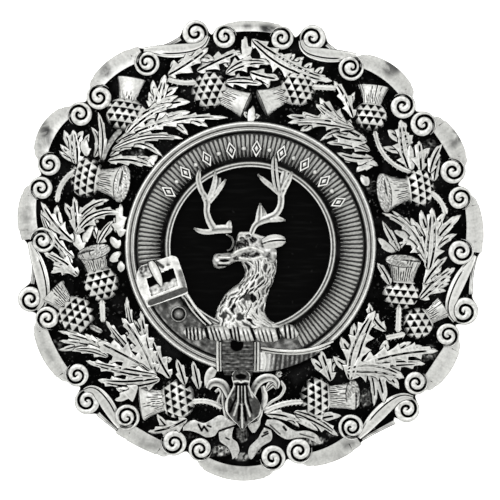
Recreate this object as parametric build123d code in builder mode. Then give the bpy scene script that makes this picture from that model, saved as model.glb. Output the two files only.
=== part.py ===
"""A cast plaid brooch: a domed thistle plate, a black ground disc, a strap and stag badge, and a pin."""
from build123d import *
import os
from collections import namedtuple
from math import atan2, degrees, hypot, sqrt

os.makedirs("parts", exist_ok=True)

# Driving sizes, in millimetres. +X is the wearer's view right, +Y up, +Z out of the face.
half_width = 40.0  # centre to the outermost scroll
strap_outer = 20.4  # radius of the strap ring
strap_inner = 13.65  # radius of the pierced field inside the strap
bezel_width = 1.05
bezel_rise = 1.8  # bezel top above the plate's floor
bezel_edge = 0.3  # rounding of the bezel's top
fit_gap = 0.1  # clearance between separate pieces

# Plate: a spherical dome that falls from the bezel to the border, hollow at the back
floor_height = 7.8  # top of the flat floor that carries the disc, and of the dome at the bezel
rim_height = 2.8  # top of the dome at the border
rim_share = 0.93  # radius where the rim height is taken, as a share of half_width
floor_wall = 1.15
plate_wall = 1.4
hollow_radius = 33.6  # radius of the hollow in the back

# Relief above the dome
leaf_rise = 0.9
scroll_rise = 1.0
ribbon_rise = 1.15
volute_rise = 1.3
stem_rise = 1.5
knot_rise = 1.65  # seat under the strap's tip
ball_sink = 0.6  # how far a thistle's axis lies below the ground

# Disc and badge
disc_thickness = 0.8
strap_thickness = 1.0
outer_border_width = 1.35
inner_border_width = 1.0
border_rise = 0.5
rib_count = 150
rib_width = 0.35
rib_rise = 0.25
lozenge_count = 9
lozenge_rise = 0.45
stag_rise = 2.2
antler_rise = 1.7
torse_rise = 2.6
buckle_rise = 2.5
tip_rise = 3.1  # top of the strap's tip above the dome

# Pin fitting at the back
pin_radius = 0.75
pin_drop = 1.5  # height of the pin's axis above the surface that the rim rests on
pin_reach = 25.0  # hinge and catch lie this far either side of the middle
pin_tail = 2.6  # pin beyond the catch
pin_up = 8.0  # height of the pin's line above the middle
lug_length = 3.2
lug_width = 5.0
lug_wall = 0.6  # metal around the pin in hinge and catch
pad_length = 8.0
pad_width = 8.0
pad_thickness = 0.8

# The design is drawn on a sheet: x runs right and y down in sheet units from its corner.
sheet_middle = 250.0
sheet_half = 233.0  # this many units are the half width
ring_middle_x = 250.5  # the strap ring's centre on the sheet
ring_middle_y = 247.0
ring_units = 119.0  # this many units are the strap ring's radius
border_middle_x = 249.0
border_middle_y = 247.0

unit = half_width / sheet_half
ring_unit = strap_outer / ring_units
ring_x = (ring_middle_x - sheet_middle) * unit
ring_y = (sheet_middle - ring_middle_y) * unit
bezel_inner = strap_outer + fit_gap
bezel_outer = bezel_inner + bezel_width
disc_base = floor_height + fit_gap
badge_base = disc_base + disc_thickness + fit_gap
bezel_top = floor_height + bezel_rise
over_bezel = bezel_top + fit_gap
tall = 4 * floor_height  # taller than everything

# The dome is part of a sphere about a point on the axis
rim_radius = rim_share * half_width
sphere_centre = (bezel_outer**2 + floor_height**2 - rim_radius**2 - rim_height**2) / (
    2 * (floor_height - rim_height)
)
sphere_radius = hypot(bezel_outer, floor_height - sphere_centre)


def at(x, y):
    """Gives the model's place of a point of the sheet."""
    return Vector((x - sheet_middle) * unit, (sheet_middle - y) * unit)


def on_badge(x, y):
    """Gives the model's place of a point of the sheet that belongs to the badge."""
    return Vector(ring_x + (x - ring_middle_x) * ring_unit, ring_y + (ring_middle_y - y) * ring_unit)


def ground(point):
    """Gives the dome's height over a point."""
    return sphere_centre + sqrt(sphere_radius**2 - (point.X - ring_x) ** 2 - (point.Y - ring_y) ** 2)


def side(direction):
    """Gives the direction turned a quarter to the left."""
    return Vector(-direction.Y, direction.X)


def blade(start, end, width, bend):
    """A pointed leaf blade between two points: width and bend are lengths, bend bows it to the left."""
    middle = (start + end) / 2
    across = side((end - start).normalized())
    with BuildSketch(mode=Mode.PRIVATE) as shape:
        with BuildLine():
            ThreePointArc(start, middle + across * (bend + width / 2), end)
            ThreePointArc(end, middle + across * (bend - width / 2), start)
        make_face()
    return shape.sketch.faces()


def taper(start, end, start_width, end_width):
    """A straight tapering strip with square ends."""
    across = side((end - start).normalized())
    with BuildSketch(mode=Mode.PRIVATE) as shape:
        with BuildLine():
            Polyline(
                start + across * (start_width / 2),
                end + across * (end_width / 2),
                end - across * (end_width / 2),
                start - across * (start_width / 2),
                close=True,
            )
        make_face()
    return shape.sketch.faces()


def band(start, end, width, bend):
    """A strip of even width that bows to the left by bend."""
    if bend == 0:
        return taper(start, end, width, width)
    middle = (start + end) / 2
    along = (end - start).normalized()
    across = side(along)
    lean = atan2(4 * bend, (end - start).length)
    start_out = side(along.rotate(Axis.Z, degrees(lean))) * (width / 2)
    end_out = side(along.rotate(Axis.Z, -degrees(lean))) * (width / 2)
    with BuildSketch(mode=Mode.PRIVATE) as shape:
        with BuildLine():
            ThreePointArc(start + start_out, middle + across * (bend + width / 2), end + end_out)
            Line(end + end_out, end - end_out)
            ThreePointArc(end - end_out, middle + across * (bend - width / 2), start - start_out)
            Line(start - start_out, start + start_out)
        make_face()
    return shape.sketch.faces()


def patch(points):
    """A flat patch with straight sides."""
    with BuildSketch(mode=Mode.PRIVATE) as shape:
        with BuildLine():
            Polyline(*points, close=True)
        make_face()
    return shape.sketch.faces()


def button(centre, radius):
    """A round patch."""
    with BuildSketch(mode=Mode.PRIVATE) as shape:
        with Locations(centre):
            Circle(radius)
    return shape.sketch.faces()


def spiral(centre, out, hand, radius):
    """A scroll's curl from its outer side inwards to a round eye; hand is 1 for leftward."""
    width = curl_width * unit
    step = curl_step * unit
    across = side(out) * hand
    marks = [(-1) ** turn * (radius - width / 2 - turn * step) for turn in range(curl_halves + 1)]
    half_turns = []
    for turn in range(curl_halves):
        hub = centre + out * ((marks[turn] + marks[turn + 1]) / 2)
        reach = abs(marks[turn] - marks[turn + 1]) / 2
        half_turns.append((hub, reach, (-1) ** turn))

    def arc(hub, reach, sign):
        return ThreePointArc(hub + out * (sign * reach), hub + across * (sign * reach), hub - out * (sign * reach))

    with BuildSketch(mode=Mode.PRIVATE) as shape:
        with BuildLine():
            for hub, reach, sign in half_turns:
                arc(hub, reach + width / 2, sign)
                arc(hub, reach - width / 2, sign)
            first_hub, first_reach, first_sign = half_turns[0]
            last_hub, last_reach, last_sign = half_turns[-1]
            Line(
                first_hub + out * (first_reach + width / 2),
                first_hub + out * (first_reach - width / 2),
            )
            Line(
                last_hub - out * (last_sign * (last_reach + width / 2)),
                last_hub - out * (last_sign * (last_reach - width / 2)),
            )
        make_face()
    return shape.sketch.faces() + button(centre + out * marks[-1], curl_eye * unit)


def shell(low, high, low_flat, high_flat):
    """The space between the dome's sphere moved by low and by high, and between two levels."""
    reach = 1.2 * half_width
    low_radius = sphere_radius + low
    high_radius = sphere_radius + high

    def level(radius, out):
        return sphere_centre + sqrt(radius**2 - out**2)

    with BuildPart(mode=Mode.PRIVATE) as shape:
        with BuildSketch(Plane(origin=(ring_x, ring_y, 0), x_dir=(1, 0, 0), z_dir=(0, -1, 0))):
            with BuildLine():
                high_edge = (reach, level(high_radius, reach))
                low_edge = (reach, level(low_radius, reach))
                high_top = (0, level(high_radius, 0))
                low_top = (0, level(low_radius, 0))
                ThreePointArc(high_top, (reach / 2, level(high_radius, reach / 2)), high_edge)
                Line(high_edge, low_edge)
                ThreePointArc(low_edge, (reach / 2, level(low_radius, reach / 2)), low_top)
                Line(low_top, high_top)
            make_face()
            with Locations((reach, (low_flat + high_flat) / 2)):
                Rectangle(2 * reach, high_flat - low_flat, mode=Mode.INTERSECT)
        revolve(axis=Axis((ring_x, ring_y, 0), (0, 0, 1)))
    return shape.part


def raised(faces, rise):
    """Flat outlines raised from inside the plate's wall to a height above the dome.

    The strap's tip and the bezel keep their own ground clear.
    """
    with BuildPart(mode=Mode.PRIVATE) as shape:
        with BuildSketch():
            add(faces)
            add(tip_clearance, mode=Mode.SUBTRACT)
            with Locations((ring_x, ring_y)):
                Circle(bezel_inner + bezel_width / 2, mode=Mode.SUBTRACT)
        extrude(amount=tall)
        add(shell(-plate_wall / 2, rise, 0, tall), mode=Mode.INTERSECT)
    return shape.part


# Border. Each lobe runs clockwise between two scroll ends; crown is its outer radius at the middle.
curl_width = 4.2
curl_step = 3.0
curl_halves = 2
curl_eye = 3.1
lobe_band = 15.0  # width of a lobe's band at its middle
lobe_lip = 3.5  # how far a lobe's end stands out past its curl
base_circle = 215.0  # radius of the plate inside the lobes
# A hand of 1 winds the curl at that end leftward from its outermost point, and -1 rightward.
Lobe = namedtuple("Lobe", "start_x start_y end_x end_y crown start_size end_size start_hand end_hand")
lobes = [
    Lobe(224.5, 36.5, 282, 38, 227, 11, 11, 1, -1),
    Lobe(351, 68, 403, 106, 231, 12, 12, -1, -1),
    Lobe(423, 124, 453, 171, 236, 12, 12, 1, -1),
    Lobe(460, 198, 461, 252, 234, 11, 12, 1, 1),
    Lobe(448, 335, 416, 383, 235, 11, 11, 1, -1),
    Lobe(351, 427, 299, 451, 229, 12, 12, -1, -1),
    Lobe(273, 458, 200, 449.5, 233, 12, 11, 1, -1),
    Lobe(174, 443, 127, 417, 226, 12, 12, 1, 1),
    Lobe(77, 375, 47, 318, 234, 11, 11, 1, -1),
    Lobe(43, 240, 41, 188, 233, 12, 11, -1, -1),
    Lobe(49, 164, 80, 114, 238, 11, 11.5, 1, -1),
    Lobe(99, 97, 147, 63, 232, 12, 12, 1, 1),
]
# Scrolls between the lobes, from the free outer curl to the end that joins a lobe's curl.
# flange is how far the thin edge outside the band reaches from the line between the two curls.
# turn is the way that the outer curl winds: 1 is leftward from its outermost point.
scroll_bend = 4.0
Scroll = namedtuple("Scroll", "outer_x outer_y inner_x inner_y size width flange turn")
scrolls = [
    Scroll(313, 36, 351, 68, 13, 12, 6, -1),
    Scroll(465, 311, 461, 252, 13, 12, 9, 1),
    Scroll(407, 410, 351, 427, 12, 12, 12, -1),
    Scroll(87, 402, 127, 417, 12, 12, 11, 1),
    Scroll(30, 299, 43, 240, 12, 12, 5, -1),
    Scroll(195, 31, 147, 63, 13, 12, 6, 1),
]
# Thistles. Ball centre and half sizes along and across its axis, then the tuft's two end widths.
Thistle = namedtuple("Thistle", "x y along across tuft_x tuft_y foot_half tuft_half")
thistles = [
    Thistle(126, 115, 16, 19, 132, 79, 9.5, 15),
    Thistle(88, 178, 16, 19, 124, 184, 11, 19),
    Thistle(102, 283, 17, 17, 93, 248, 11, 17),
    Thistle(77, 314, 18, 18, 53, 290, 10, 16),
    Thistle(178, 398, 17, 19, 143, 402, 11, 19),
    Thistle(210, 91, 17, 18, 247, 106, 10, 14),
    Thistle(370, 117, 14, 16, 373, 85, 9.5, 16),
    Thistle(418, 188, 15, 18, 382, 193, 11, 20),
    Thistle(400, 293, 15, 18, 403, 257, 12, 18),
    Thistle(417, 323, 15, 15, 443, 306, 9, 12),
    Thistle(316, 396, 15, 19, 356, 395, 12, 16),
    Thistle(297, 90, 17, 17, 261, 104, 10, 15),
]
Stem = namedtuple("Stem", "x y end_x end_y width bend")
stems = [
    Stem(121, 130, 100, 160, 5, -2.5),
    Stem(73, 172, 57, 201, 4.5, -3),
    Stem(102, 300, 103, 322, 5, 0),
    Stem(90, 326, 102, 330, 5, 0),
    Stem(192, 402, 221, 408, 6, 3.5),
    Stem(195, 80, 172, 79, 5, 1),
    Stem(375, 131, 411, 172, 5, -9),
    Stem(428, 190, 447, 214, 5, 3),
    Stem(399, 306, 398, 332, 5, 0),
    Stem(405, 334, 386, 336, 6, 0),
    Stem(303, 403, 262, 411, 6, -3),
    Stem(312, 87, 334, 88, 5, 0),
]
# Leaves. width and bend are sheet units; each lobe springs from a share of the way along.
Leaf = namedtuple("Leaf", "x y tip_x tip_y width bend lobes")
leaves = [
    Leaf(136, 130, 167, 75, 11, -2, [(0.5, 154, 79), (0.3, 149, 92), (0.6, 178, 88), (0.3, 190, 101)]),
    Leaf(116, 142, 228, 116, 9, 9, [(0.5, 188, 135), (0.62, 208, 126), (0.3, 195, 109)]),
    Leaf(110, 150, 181, 141, 8, 6, []),
    Leaf(108, 157, 162, 155, 8, 14, []),
    Leaf(106, 162, 151, 168, 7, 5, []),
    Leaf(101, 158, 98, 113, 5, -4, []),
    Leaf(90, 155, 92, 127, 9, -5, [(0.3, 86, 134)]),
    Leaf(77, 161, 72, 131, 8, 0, [(0.3, 64, 131), (0.3, 82, 131), (0.1, 59, 143), (0.05, 59, 150)]),
    Leaf(170, 73, 209, 48, 9, -1, [(0.3, 176, 62), (0.45, 193, 57), (0.6, 212, 60)]),
    Leaf(199, 69, 241, 50, 8, 1, [(0.35, 216, 53)]),
    Leaf(247, 64, 245, 37, 9, 0, [(0.3, 236, 53)]),
    Leaf(252, 38, 333, 80, 12, 1, [(0.3, 284, 56), (0.4, 294, 54), (0.5, 305, 58), (0.7, 325, 67)]),
    Leaf(227, 74, 258, 85, 9, 1, [(0.1, 252, 62)]),
    Leaf(250, 60, 292, 73, 12, 2, [(0.4, 269, 84)]),
    Leaf(251, 121, 253, 107, 5, 0, [(0.2, 244, 112), (0.2, 260, 118)]),
    Leaf(352, 126, 334, 81, 9, -2, [(0.5, 345, 93)]),
    Leaf(351, 125, 320, 98, 9, 2, []),
    Leaf(344, 125, 315, 104, 8, 2, []),
    Leaf(366, 134, 287, 116, 9, -5, [(0.5, 304, 112), (0.5, 300, 128)]),
    Leaf(354, 131, 320, 141, 7, -4, []),
    Leaf(367, 141, 331, 133, 12, 1, []),
    Leaf(369, 151, 327, 144, 8, -3, []),
    Leaf(373, 160, 337, 153, 9, -2, [(0.4, 345, 162)]),
    Leaf(378, 165, 357, 172, 7, -2, []),
    Leaf(406, 168, 399, 121, 13, -1, [(0.5, 388, 130), (0.55, 408, 132), (0.3, 383, 147)]),
    Leaf(413, 168, 419, 142, 14, 0, [(0.6, 411, 141), (0.4, 428, 150)]),
    Leaf(430, 172, 442, 145, 8, 2, []),
    Leaf(427, 275, 433, 208, 13, 3, [(0.4, 421, 211), (0.4, 446, 212), (0.3, 461, 216), (0.2, 455, 235)]),
    Leaf(426, 262, 382, 213, 9, -9, []),
    Leaf(424, 254, 395, 231, 13, -4, [(0.1, 411, 243)]),
    Leaf(400, 250, 382, 222, 6, -1, [(0.2, 379, 238), (0.1, 407, 240)]),
    Leaf(389, 283, 377, 263, 6, -1, []),
    Leaf(420, 298, 456, 268, 9, 1, [(0.2, 441, 261), (0.3, 450, 278), (0.1, 447, 290)]),
    Leaf(350, 378, 383, 322, 13, 1, [(0.2, 341, 338), (0.3, 354, 324), (0.4, 366, 333)]),
    Leaf(386, 330, 369, 303, 9, 4, []),
    Leaf(328, 380, 321, 352, 9, 0, [(0.3, 338, 355), (0.2, 311, 358)]),
    Leaf(362, 364, 438, 352, 14, 4, [(0.2, 390, 337), (0.5, 418, 344)]),
    Leaf(346, 370, 404, 378, 15, 5, [(0.3, 420, 364), (0.5, 398, 389), (0.5, 375, 405)]),
    Leaf(262, 414, 338, 437, 10, 4, [(0.3, 290, 423), (0.5, 312, 428), (0.6, 340, 418)]),
    Leaf(75, 240, 41, 203, 9, -3, [(0.3, 55, 208)]),
    Leaf(73, 252, 41, 211, 8, -5, []),
    Leaf(75, 232, 60, 201, 12, 0, [(0.3, 72, 199)]),
    Leaf(75, 222, 109, 201, 8, 5, []),
    Leaf(76, 234, 121, 214, 9, 9, [(0.1, 94, 224)]),
    Leaf(94, 242, 112, 221, 9, 2, []),
    Leaf(77, 273, 43, 255, 9, 0, [(0.4, 51, 273), (0.4, 59, 246)]),
    Leaf(152, 370, 57, 334, 11, -4, [(0.4, 95, 341), (0.5, 84, 335), (0.45, 73, 358)]),
    Leaf(152, 370, 103, 323, 14, 0, [(0.4, 118, 322)]),
    Leaf(158, 374, 127, 298, 15, 5, [(0.4, 141, 318), (0.3, 120, 330)]),
    Leaf(172, 377, 152, 338, 11, 1, [(0.3, 166, 350)]),
    Leaf(198, 386, 173, 360, 9, 1, [(0.2, 182, 360), (0.2, 194, 361)]),
    Leaf(156, 378, 98, 380, 10, 4, [(0.3, 90, 360)]),
    Leaf(137, 387, 115, 398, 10, 3, [(0.3, 118, 388)]),
    Leaf(184, 420, 148, 433, 9, 3, [(0.3, 160, 437)]),
]
lobe_width_share = 0.36
lobe_bend_share = 0.08
# Ribbon at the foot, tied behind the strap's tip
Ribbon = namedtuple("Ribbon", "x y end_x end_y width bend")
ribbons = [
    Ribbon(232, 423, 199, 428, 15, 3),
    Ribbon(198, 427, 184, 424, 8, 0),
    Ribbon(225, 424, 236, 457, 14, -5),
    Ribbon(252, 418, 253, 431, 11, 0),
    Ribbon(268, 428, 250, 457, 13, 4),
    Ribbon(264, 421, 294, 435, 12, -2),
    Ribbon(294, 434, 322, 442, 10, 3),
    Ribbon(229, 394, 207, 388, 8, 10),
    Ribbon(210, 392, 214, 370, 9, 2),
    Ribbon(253, 392, 281, 388, 8, 12),
    Ribbon(281, 386, 262, 412, 8, 7),
    Ribbon(261, 385, 263, 411, 8, 0),
]
curl_ledge = 0.12  # plate showing round each curl
tip_gap = 0.35  # open ground left round the strap's tip

border_centre = at(border_middle_x, border_middle_y)


def crown_point(start, end, crown):
    """Gives the point over the middle of a lobe at the crown's radius from the border's centre."""
    return border_centre + ((start + end) / 2 - border_centre).normalized() * crown


lobe_outlines = []
lobe_bands = []
curls = []
for lobe in lobes:
    start = at(lobe.start_x, lobe.start_y)
    end = at(lobe.end_x, lobe.end_y)
    start_out = (start - border_centre).normalized()
    end_out = (end - border_centre).normalized()
    start_size = lobe.start_size * unit
    end_size = lobe.end_size * unit
    crown = crown_point(start, end, lobe.crown * unit)
    crown_in = crown_point(start, end, (lobe.crown - lobe_band) * unit)
    start_edge = start + start_out * (start_size + lobe_lip * unit)
    end_edge = end + end_out * (end_size + lobe_lip * unit)
    start_foot = start + start_out * (start_size - curl_width * unit)
    end_foot = end + end_out * (end_size - curl_width * unit)
    with BuildSketch(mode=Mode.PRIVATE) as outline:
        with BuildLine():
            ThreePointArc(start_edge, crown, end_edge)
            Polyline(end_edge, border_centre, start_edge)
        make_face()
    lobe_outlines += outline.sketch.faces()
    lobe_outlines += button(start, start_size + curl_ledge) + button(end, end_size + curl_ledge)
    with BuildSketch(mode=Mode.PRIVATE) as crescent:
        with BuildLine():
            ThreePointArc(start_edge, crown, end_edge)
            Line(end_edge, end_foot)
            ThreePointArc(end_foot, crown_in, start_foot)
            Line(start_foot, start_edge)
        make_face()
    lobe_bands += crescent.sketch.faces()
    curls += spiral(start, start_out, lobe.start_hand, start_size)
    curls += spiral(end, end_out, lobe.end_hand, end_size)
for scroll in scrolls:
    outer = at(scroll.outer_x, scroll.outer_y)
    inner = at(scroll.inner_x, scroll.inner_y)
    outer_out = (outer - border_centre).normalized()
    inner_out = (inner - border_centre).normalized()
    size = scroll.size * unit
    width = scroll.width * unit
    outward = side((outer - inner).normalized()) * scroll.turn
    with BuildSketch(mode=Mode.PRIVATE) as flange:
        with BuildLine():
            flange_start = outer + outward * size * 0.9
            flange_end = inner + outward * size
            ThreePointArc(flange_start, (outer + inner) / 2 + outward * scroll.flange * unit, flange_end)
            Polyline(flange_end, inner - outward * size, outer - outward * size, flange_start)
        make_face()
    lobe_outlines += button(outer, size + curl_ledge) + flange.sketch.faces()
    bend = scroll.turn * scroll_bend * unit
    lobe_bands += band(outer - outer_out * (size - width / 2), inner + inner_out * width / 2, width, bend)
    curls += spiral(outer, -outer_out, scroll.turn, size)

leaf_faces = []
for leaf in leaves:
    base = at(leaf.x, leaf.y)
    tip = at(leaf.tip_x, leaf.tip_y)
    across = side((tip - base).normalized())
    leaf_faces += blade(base, tip, leaf.width * unit, leaf.bend * unit)
    for share, lobe_x, lobe_y in leaf.lobes:
        root = base + (tip - base) * share + across * (4 * leaf.bend * unit * share * (1 - share))
        point = at(lobe_x, lobe_y)
        length = (point - root).length
        leaf_faces += blade(root, point, lobe_width_share * length, lobe_bend_share * length)
stem_faces = []
for stem in stems:
    stem_faces += band(at(stem.x, stem.y), at(stem.end_x, stem.end_y), stem.width * unit, stem.bend * unit)
ribbon_faces = []
for strip in ribbons:
    ribbon_faces += band(at(strip.x, strip.y), at(strip.end_x, strip.end_y), strip.width * unit, strip.bend * unit)


# The strap's tip hangs over the bezel; its outline is shared with the ground left clear for it.
TipRow = namedtuple("TipRow", "y left right")
tip_rows = [
    TipRow(343, 218, 257),
    TipRow(366, 218, 257),
    TipRow(374, 229, 250),
    TipRow(386, 232, 249),
    TipRow(400, 224, 258),
    TipRow(414, 224, 260),
    TipRow(420, 231, 254),
    TipRow(429, 241, 243),
]
tip_outline = [on_badge(row.left, row.y) for row in tip_rows]
tip_outline += [on_badge(row.right, row.y) for row in reversed(tip_rows)]

with BuildSketch(mode=Mode.PRIVATE) as tip_ground:
    add(patch(tip_outline))
    offset(amount=tip_gap, kind=Kind.INTERSECTION)
tip_clearance = tip_ground.sketch.faces()


def thistle_solid(row):
    """A ball and its flared tuft, turned about the thistle's axis, which lies along the dome."""
    ball = at(row.x, row.y)
    tuft = at(row.tuft_x, row.tuft_y)
    low = Vector(ball.X, ball.Y, ground(ball) - ball_sink)
    high = Vector(tuft.X, tuft.Y, ground(tuft) - ball_sink)
    axis = (high - low).normalized()
    length = (high - low).length
    along = row.along * unit
    across = row.across * unit
    neck = along * 0.8
    neck_half = row.foot_half * unit
    with BuildPart(mode=Mode.PRIVATE) as shape:
        with BuildSketch(Plane(origin=low, x_dir=axis, z_dir=axis.cross(Vector(0, 0, 1)))):
            with BuildLine():
                ThreePointArc((-along, 0), (-along * 0.7, across * 0.7), (0, across))
                ThreePointArc((0, across), (neck * 0.6, across * 0.85), (neck, neck_half))
                Polyline((neck, neck_half), (length, row.tuft_half * unit), (length, 0), (-along, 0))
            make_face()
        revolve(axis=Axis(low, axis))
    return shape.part


with BuildPart() as thistle_heads:
    add([thistle_solid(row) for row in thistles])
    add(shell(-sphere_radius / 2, -plate_wall / 2, -tall, tall), mode=Mode.SUBTRACT)
    with BuildSketch():
        with Locations((ring_x, ring_y)):
            Circle(bezel_inner + bezel_width / 2)
    extrude(amount=tall, mode=Mode.SUBTRACT)

with BuildPart() as cast_plate:
    with BuildSketch():
        with Locations(border_centre):
            Circle(base_circle * unit)
        add(lobe_outlines)
    extrude(amount=tall)
    add(shell(-sphere_radius / 2, 0, 0, floor_height), mode=Mode.INTERSECT)
    with BuildPart(mode=Mode.PRIVATE) as hollow:
        with BuildSketch():
            with Locations((ring_x, ring_y)):
                Circle(hollow_radius)
        extrude(amount=tall)
        add(shell(-sphere_radius / 2, -plate_wall, -tall, floor_height - floor_wall), mode=Mode.INTERSECT)
    add(hollow.part, mode=Mode.SUBTRACT)
    with BuildSketch(Plane.XY.offset(floor_height)):
        with Locations((ring_x, ring_y)):
            Circle(bezel_outer)
            Circle(bezel_inner, mode=Mode.SUBTRACT)
    extrude(amount=bezel_rise)
    bezel_lip = cast_plate.edges().filter_by(GeomType.CIRCLE).group_by(Axis.Z)[-1]
    fillet(bezel_lip, radius=bezel_edge)
    with BuildPart(mode=Mode.PRIVATE) as tip_seat:
        with BuildSketch():
            add(patch(tip_outline))
            with Locations((ring_x, ring_y)):
                Circle(bezel_inner + bezel_width / 2, mode=Mode.SUBTRACT)
        extrude(amount=tall)
        add(shell(-plate_wall / 2, knot_rise, 0, tall), mode=Mode.INTERSECT)
    add(
        [
            raised(leaf_faces, leaf_rise),
            raised(lobe_bands, scroll_rise),
            raised(curls, volute_rise),
            raised(ribbon_faces, ribbon_rise),
            raised(stem_faces, stem_rise),
            tip_seat.part,
            thistle_heads.part,
        ],
        clean=False,
    )
cast_plate.part.label = "cast_plate"
export_step(cast_plate.part, "parts/cast_plate.step")

with BuildPart() as ground_disc:
    with BuildSketch(Plane.XY.offset(disc_base)):
        with Locations((ring_x, ring_y)):
            Circle(strap_outer)
    extrude(amount=disc_thickness)
ground_disc.part.label = "ground_disc"
export_step(ground_disc.part, "parts/ground_disc.step")

# Badge. Stretches of the stag's outline, each joined smoothly through its points.
throat = [(214, 332), (216, 311), (228, 290), (239, 283), (244, 273), (238, 260)]
muzzle = [(238, 260), (230, 264), (220, 268), (213, 262), (217, 254), (231, 252)]
brow = [(231, 252), (236, 244), (235, 233), (244, 235), (252, 231), (262, 236)]
ear = [(262, 236), (272, 236), (284, 239), (281, 246), (275, 251)]
nape = [(275, 251), (277, 268), (272, 288), (266, 302), (270, 318), (284, 328), (284, 332)]
Tine = namedtuple("Tine", "x y end_x end_y width end_width")
tines = [
    Tine(236, 233, 211, 229, 7, 6),
    Tine(214, 230, 194, 227, 6, 2.5),
    Tine(230, 233, 230, 220, 6, 2),
    Tine(213, 231, 208, 213, 7, 5),
    Tine(208, 216, 208, 196, 5, 6),
    Tine(208, 200, 199, 184, 6, 5),
    Tine(199, 187, 200, 170, 5, 2),
    Tine(208, 200, 214, 185, 6, 4),
    Tine(214, 188, 215, 171, 4, 2),
    Tine(208, 201, 225, 179, 5, 3),
    Tine(252, 236, 258, 221, 6, 6),
    Tine(257, 225, 260, 202, 6, 2),
    Tine(257, 223, 270, 218, 6, 7),
    Tine(264, 221, 286, 221, 5, 2),
    Tine(267, 220, 263, 205, 5, 2),
    Tine(267, 219, 280, 207, 6, 6),
    Tine(279, 210, 279, 193, 6, 6),
    Tine(279, 197, 268, 184, 6, 5),
    Tine(269, 186, 257, 174, 5, 2.5),
    Tine(278, 195, 275, 180, 6, 6),
    Tine(275, 183, 274, 157, 6, 4),
    Tine(280, 197, 285, 183, 6, 7),
    Tine(285, 185, 291, 171, 7, 4),
]
antler_web = [(277, 190), (280, 168), (291, 172), (285, 188)]
Twist = namedtuple("Twist", "x y half_length half_height")
twists = [
    Twist(192, 332, 10, 7.5),
    Twist(218, 333, 14, 7.5),
    Twist(243, 333.5, 14, 8),
    Twist(267, 334, 13, 7.5),
    Twist(289, 331, 9, 7.5),
]
torse_bar = 9.0  # height of the bar that the twists are wound on
buckle_frame = [(134, 278), (176, 257), (188, 291), (148, 307)]
buckle_window = [(146, 279), (171, 270), (178, 286), (152, 299)]
buckle_tongue = Tine(152, 264, 162, 286, 7, 3)
buckle_arm = Tine(138, 273, 151, 265, 7, 5)
eyelet_x = 179.5
eyelet_y = 313.5
eyelet_half = 6.5
eyelet_hole = 4.0
tail_edge = Ribbon(262, 348, 334, 342, 5, -6)
lozenge_start = 25.0  # degrees
lozenge_end = 146.0
lozenge_half_width = 5.5
ribbed_inner = 88.0
ribbed_outer = 111.0

stag_faces = []
with BuildSketch(mode=Mode.PRIVATE) as stag_outline:
    with BuildLine():
        for stretch in (throat, muzzle, brow, ear, nape):
            Spline(*[on_badge(x, y) for x, y in stretch])
        Line(on_badge(*nape[-1]), on_badge(*throat[0]))
    make_face()
stag_faces += stag_outline.sketch.faces()
antler_faces = patch([on_badge(x, y) for x, y in antler_web])
for tine in tines:
    root = on_badge(tine.x, tine.y)
    point = on_badge(tine.end_x, tine.end_y)
    antler_faces += taper(root, point, tine.width * ring_unit, tine.end_width * ring_unit)
torse_faces = taper(
    on_badge(twists[0].x, twists[0].y), on_badge(twists[-1].x, twists[-1].y),
    torse_bar * ring_unit, torse_bar * ring_unit,
)
for twist in twists:
    with BuildSketch(mode=Mode.PRIVATE) as shape:
        with Locations(on_badge(twist.x, twist.y)):
            Ellipse(twist.half_length * ring_unit, twist.half_height * ring_unit)
    torse_faces += shape.sketch.faces()
with BuildSketch(mode=Mode.PRIVATE) as buckle_outline:
    add(patch([on_badge(x, y) for x, y in buckle_frame]))
    add(patch([on_badge(x, y) for x, y in buckle_window]), mode=Mode.SUBTRACT)
    for bar in (buckle_tongue, buckle_arm):
        bar_start = on_badge(bar.x, bar.y)
        bar_end = on_badge(bar.end_x, bar.end_y)
        add(taper(bar_start, bar_end, bar.width * ring_unit, bar.end_width * ring_unit))
buckle_faces = buckle_outline.sketch.faces()

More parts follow.
